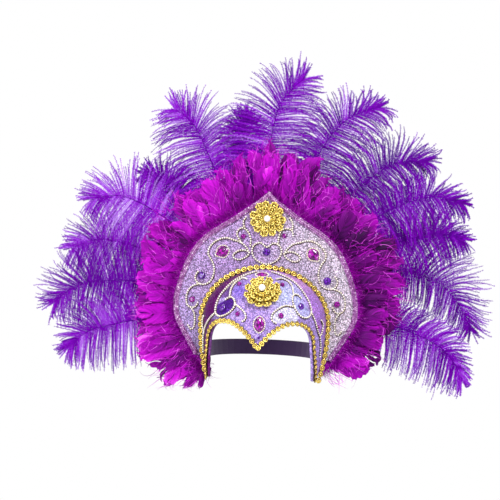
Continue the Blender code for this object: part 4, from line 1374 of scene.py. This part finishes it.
def plume_shaft(row, up):
    """Points on a plume's shaft at shares of its length, and its direction there."""
    tip = fan_reach * row["reach"]

    def place(at_up):
        radius = quill_root + (tip - quill_root) * at_up
        curl_over = tip_bend * math.copysign(1.0, row["bend"]) * np.maximum(at_up - 0.70, 0.0) ** 1.6
        points = fan_points(radius, row["at"] + row["bend"] * np.maximum(at_up, 0.0) ** 2.5 + curl_over,
                            np.zeros_like(radius))
        points[:, 1] = fan_depth(points[:, 0], points[:, 2], row["layer"]) + vane_wall / 2.0
        return points

    here = place(up)
    return here, unit(place(up + 0.002) - here)


def barb_paths(row, rng, side):
    """Curved paths of the barbs on one side of a plume."""
    tip = fan_reach * row["reach"]
    start = (vane_start - 0.014 - quill_root) / (tip - quill_root)
    share = (np.arange(plume_barbs) + rng.uniform(-0.25, 0.25, plume_barbs) + 0.5) / plume_barbs
    share = 1.0 - (1.0 - share) ** 1.10
    up = start + (plume_end - start) * share
    roots, forward = plume_shaft(row, up)
    across = unit(np.stack((forward[:, 2], np.zeros(plume_barbs), -forward[:, 0]), axis=1)) * side
    fullness = 0.70 + 0.30 * np.minimum(share / 0.30, 1.0)
    fullness = fullness * (1.0 - 0.60 * np.clip((share - 0.62) / 0.38, 0.0, 1.0) ** 2)
    scale = row["right"] if side > 0 else row["left"]
    lengths = plume_spread * vane_half_width * row["width"] * fullness * scale
    lengths = lengths * (1.0 + rng.normal(0.0, 0.05 + 0.10 * (1.0 - row["combed"]), plume_barbs))
    under = rng.uniform(size=plume_barbs) < 0.35
    lengths = lengths * np.where(under, 0.76, 1.0)
    opening = np.radians(80.0 - 58.0 * share ** 4)
    opening = opening + rng.normal(0.0, 1.0, plume_barbs) * (0.05 + 0.11 * share ** 4)
    heading = forward * np.cos(opening)[:, None] + across * np.sin(opening)[:, None]
    loose = 1.0 - row["combed"]
    heading[:, 1] += rng.normal(0.02, 0.05 + 0.10 * loose, plume_barbs) + 0.10 * under
    swerve = rng.normal(0.0, 1.0, (plume_barbs, 3)) * (0.05 + 0.16 * loose + 0.09 * share ** 3)[:, None]
    hook = 0.6 * row["curl"] * side * (1.0 + rng.normal(0.0, 0.6, plume_barbs))
    paths = np.zeros((plume_barbs, barb_steps + 1, 3))
    paths[:, 0] = roots
    for step in range(barb_steps):
        along = (step + 0.5) / barb_steps
        pulled = unit(heading) + down * 0.62 * row["droop"] * along ** 1.3
        pulled = pulled + swerve * along + forward * 0.10 * along
        turn = -hook * along ** 3
        turned_x = pulled[:, 0] * np.cos(turn) - pulled[:, 2] * np.sin(turn)
        turned_z = pulled[:, 0] * np.sin(turn) + pulled[:, 2] * np.cos(turn)
        moved = unit(np.stack((turned_x, pulled[:, 1] + 0.06 * along, turned_z), axis=1))
        paths[:, step + 1] = paths[:, step] + moved * (lengths / barb_steps)[:, None]
    share_along = np.linspace(0.0, 1.0, barb_steps + 1)
    sizes = rng.integers(1, 5, plume_barbs)
    groups = np.repeat(np.arange(plume_barbs), sizes)[:plume_barbs]
    pull = (0.40 + 0.25 * loose) * share_along ** 1.6
    for group in np.unique(groups):
        members = groups == group
        middle = paths[members].mean(axis=0)
        looser = 1.0 - share[members].mean() ** 2
        paths[members] += (middle - paths[members]) * looser * pull[None, :, None]
    # Barbs that lie under the others are painted darker, as shade
    group_tone = rng.normal(0.0, 0.14, plume_barbs)[groups] - 0.16 * under
    return paths, group_tone


def add_barbules(gathered, rng, paths, ahead, sides, tones):
    """Fine loose points in two rows along every barb."""
    spots = (np.arange(barbules) + rng.uniform(0.0, 1.0, (plume_barbs, barbules))) / barbules
    spots = np.clip(spots * barb_steps, 0.0, barb_steps - 1e-6)
    whole = spots.astype(int)
    part = (spots - whole)[..., None]
    pick = np.arange(plume_barbs)[:, None]
    places = paths[pick, whole] * (1.0 - part) + paths[pick, whole + 1] * part
    headings = ahead[pick, whole]
    wings = sides[pick, whole]
    shade = tones[pick, whole]
    shrink = 1.2 - 0.72 * spots[..., None] / barb_steps
    for wing in (-1.0, 1.0):
        size = barbule_length * rng.uniform(0.6, 1.35, (plume_barbs, barbules, 1)) * shrink
        scatter = rng.normal(0.0, 1.0, places.shape) * (0.22, 0.10, 0.22)
        tip = places + (headings * 0.62 + wings * wing * 0.78 + scatter) * size
        low = places - headings * barbule_width / 2.0
        high = places + headings * barbule_width / 2.0
        shades = (shade + rng.normal(0.02, 0.08, shade.shape)).reshape(-1, 1) + (0.0, 0.0, 0.20)
        gathered.add_loose(np.stack((low, high, tip), axis=2), shades.ravel())


def make_plume(row):
    """An ostrich plume: a shaft with barbs on both sides and barbules on every barb."""
    rng = np.random.default_rng(90 + int(row["name"]))
    gathered = Gathered()
    shaft, _ = plume_shaft(row, np.linspace(0.0, plume_end, 40))
    gathered.add(*sweep(shaft, np.linspace(0.0013, 0.0004, 40), 5), tone=0.05)
    share = np.linspace(0.0, 1.0, barb_steps + 1)
    for side in (1.0, -1.0):
        paths, group_tone = barb_paths(row, rng, side)
        tones = row["tone"] + group_tone[:, None] + row["ends"] * share[None, :] ** 2
        tones = tones + 0.10 * np.sin(share * 3.0)[None, :] - 0.03
        ahead = unit(np.gradient(paths, axis=1))
        facing = np.array((0.0, -1.0, 0.15)) + rng.normal(0.0, 0.22, (plume_barbs, 1, 3))
        sides = unit(np.cross(ahead, facing))
        half = barb_width * (0.5 - 0.34 * share)[None, :, None]
        strip = np.stack((paths - sides * half, paths + sides * half), axis=2)
        gathered.add(strip, ribbons(plume_barbs, barb_steps), np.repeat(tones.ravel(), 2))
        add_barbules(gathered, rng, paths, ahead, sides, tones)
    gathered.piece("ostrich_plume_" + row["name"], [ostrich], "ostrich_feather", ["plume_" + row["name"]])


# Stage, light and camera

def make_stage():
    mesh = bpy.data.meshes.new("floor")
    ground = bmesh.new()
    bmesh.ops.create_circle(ground, cap_ends=True, segments=96, radius=1.6)
    ground.to_mesh(mesh)
    ground.free()
    pale = new_material("pale_floor", 0.8)
    colour_by(pale, ramp(pale, noise(pale, 3.0, 2.0), [(0.0, (0.80, 0.80, 0.80)), (1.0, (0.84, 0.84, 0.84))]))
    mesh.materials.append(pale)
    floor = in_scene("floor", mesh)
    floor.location = (0.0, 0.0, -0.62)


def add_light(name, place, aim, size, energy):
    data = bpy.data.lights.new(name, "AREA")
    data.shape = "DISK"
    data.size = size
    data.energy = energy
    lamp = in_scene(name, data)
    lamp.location = place
    lamp.rotation_euler = (Vector(aim) - Vector(place)).to_track_quat("-Z", "Y").to_euler()


def make_world():
    """Plain white to the camera, and a soft dome of light that is darker below."""
    world = bpy.data.worlds.new("studio")
    world.use_nodes = True
    world.node_tree.nodes.clear()
    place = add_node(world, "ShaderNodeTexCoord").outputs["Generated"]
    height = add_node(world, "ShaderNodeSeparateXYZ", {0: place}).outputs["Z"]
    spread = add_node(world, "ShaderNodeMapRange", {"Value": height, "From Min": -1.0}).outputs[0]
    shade = ramp(world, spread, [(0.25, (0.45, 0.45, 0.47)), (0.85, (1.0, 1.0, 1.0))])
    lit = add_node(world, "ShaderNodeBackground", {"Color": shade, "Strength": 0.58})
    seen = add_node(world, "ShaderNodeBackground", {"Color": (1.0, 1.0, 1.0, 1.0), "Strength": 1.0})
    ray = add_node(world, "ShaderNodeLightPath").outputs["Is Camera Ray"]
    both = add_node(world, "ShaderNodeMixShader", {0: ray, 1: lit.outputs[0], 2: seen.outputs[0]})
    add_node(world, "ShaderNodeOutputWorld", {"Surface": both.outputs[0]})
    bpy.context.scene.world = world


def make_camera():
    """The photograph's view: a long lens, level, a little from the right, rolled two degrees."""
    azimuth = math.radians(5.5)
    roll = math.radians(2.2)
    aim = Vector((-0.0235, -0.015, 0.100))
    back = Vector((math.sin(azimuth), -math.cos(azimuth), 0.0))
    level = Vector((math.cos(azimuth), math.sin(azimuth), 0.0))
    upright = Vector((0.0, 0.0, 1.0))
    right = level * math.cos(roll) + upright * math.sin(roll)
    up = upright * math.cos(roll) - level * math.sin(roll)
    data = bpy.data.cameras.new("camera")
    data.sensor_width = 36.0
    data.lens = 108.0
    camera = in_scene("camera", data)
    turned = Matrix((right, up, back)).transposed().to_4x4()
    camera.matrix_world = Matrix.Translation(aim + back * camera_distance) @ turned
    bpy.context.scene.camera = camera


make_cap()
make_panel()
make_braids()
make_strings()
make_edging()
make_brooches()
make_stones()
make_ruff()
for plume_row in plumes:
    make_plume(plume_row)
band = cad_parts["head_band"]
band.data.materials.clear()
band.data.materials.append(webbing)
make_stage()
make_world()
add_light("key", (0.9, -2.0, 1.5), (0.0, 0.0, 0.05), 0.9, 52.0)
add_light("fill", (-1.5, -1.8, 0.1), (0.0, 0.0, 0.05), 1.4, 24.0)
add_light("top", (-0.2, 0.5, 2.0), (0.0, 0.0, 0.1), 1.0, 18.0)
make_camera()
bpy.context.scene.view_settings.view_transform = "Standard"
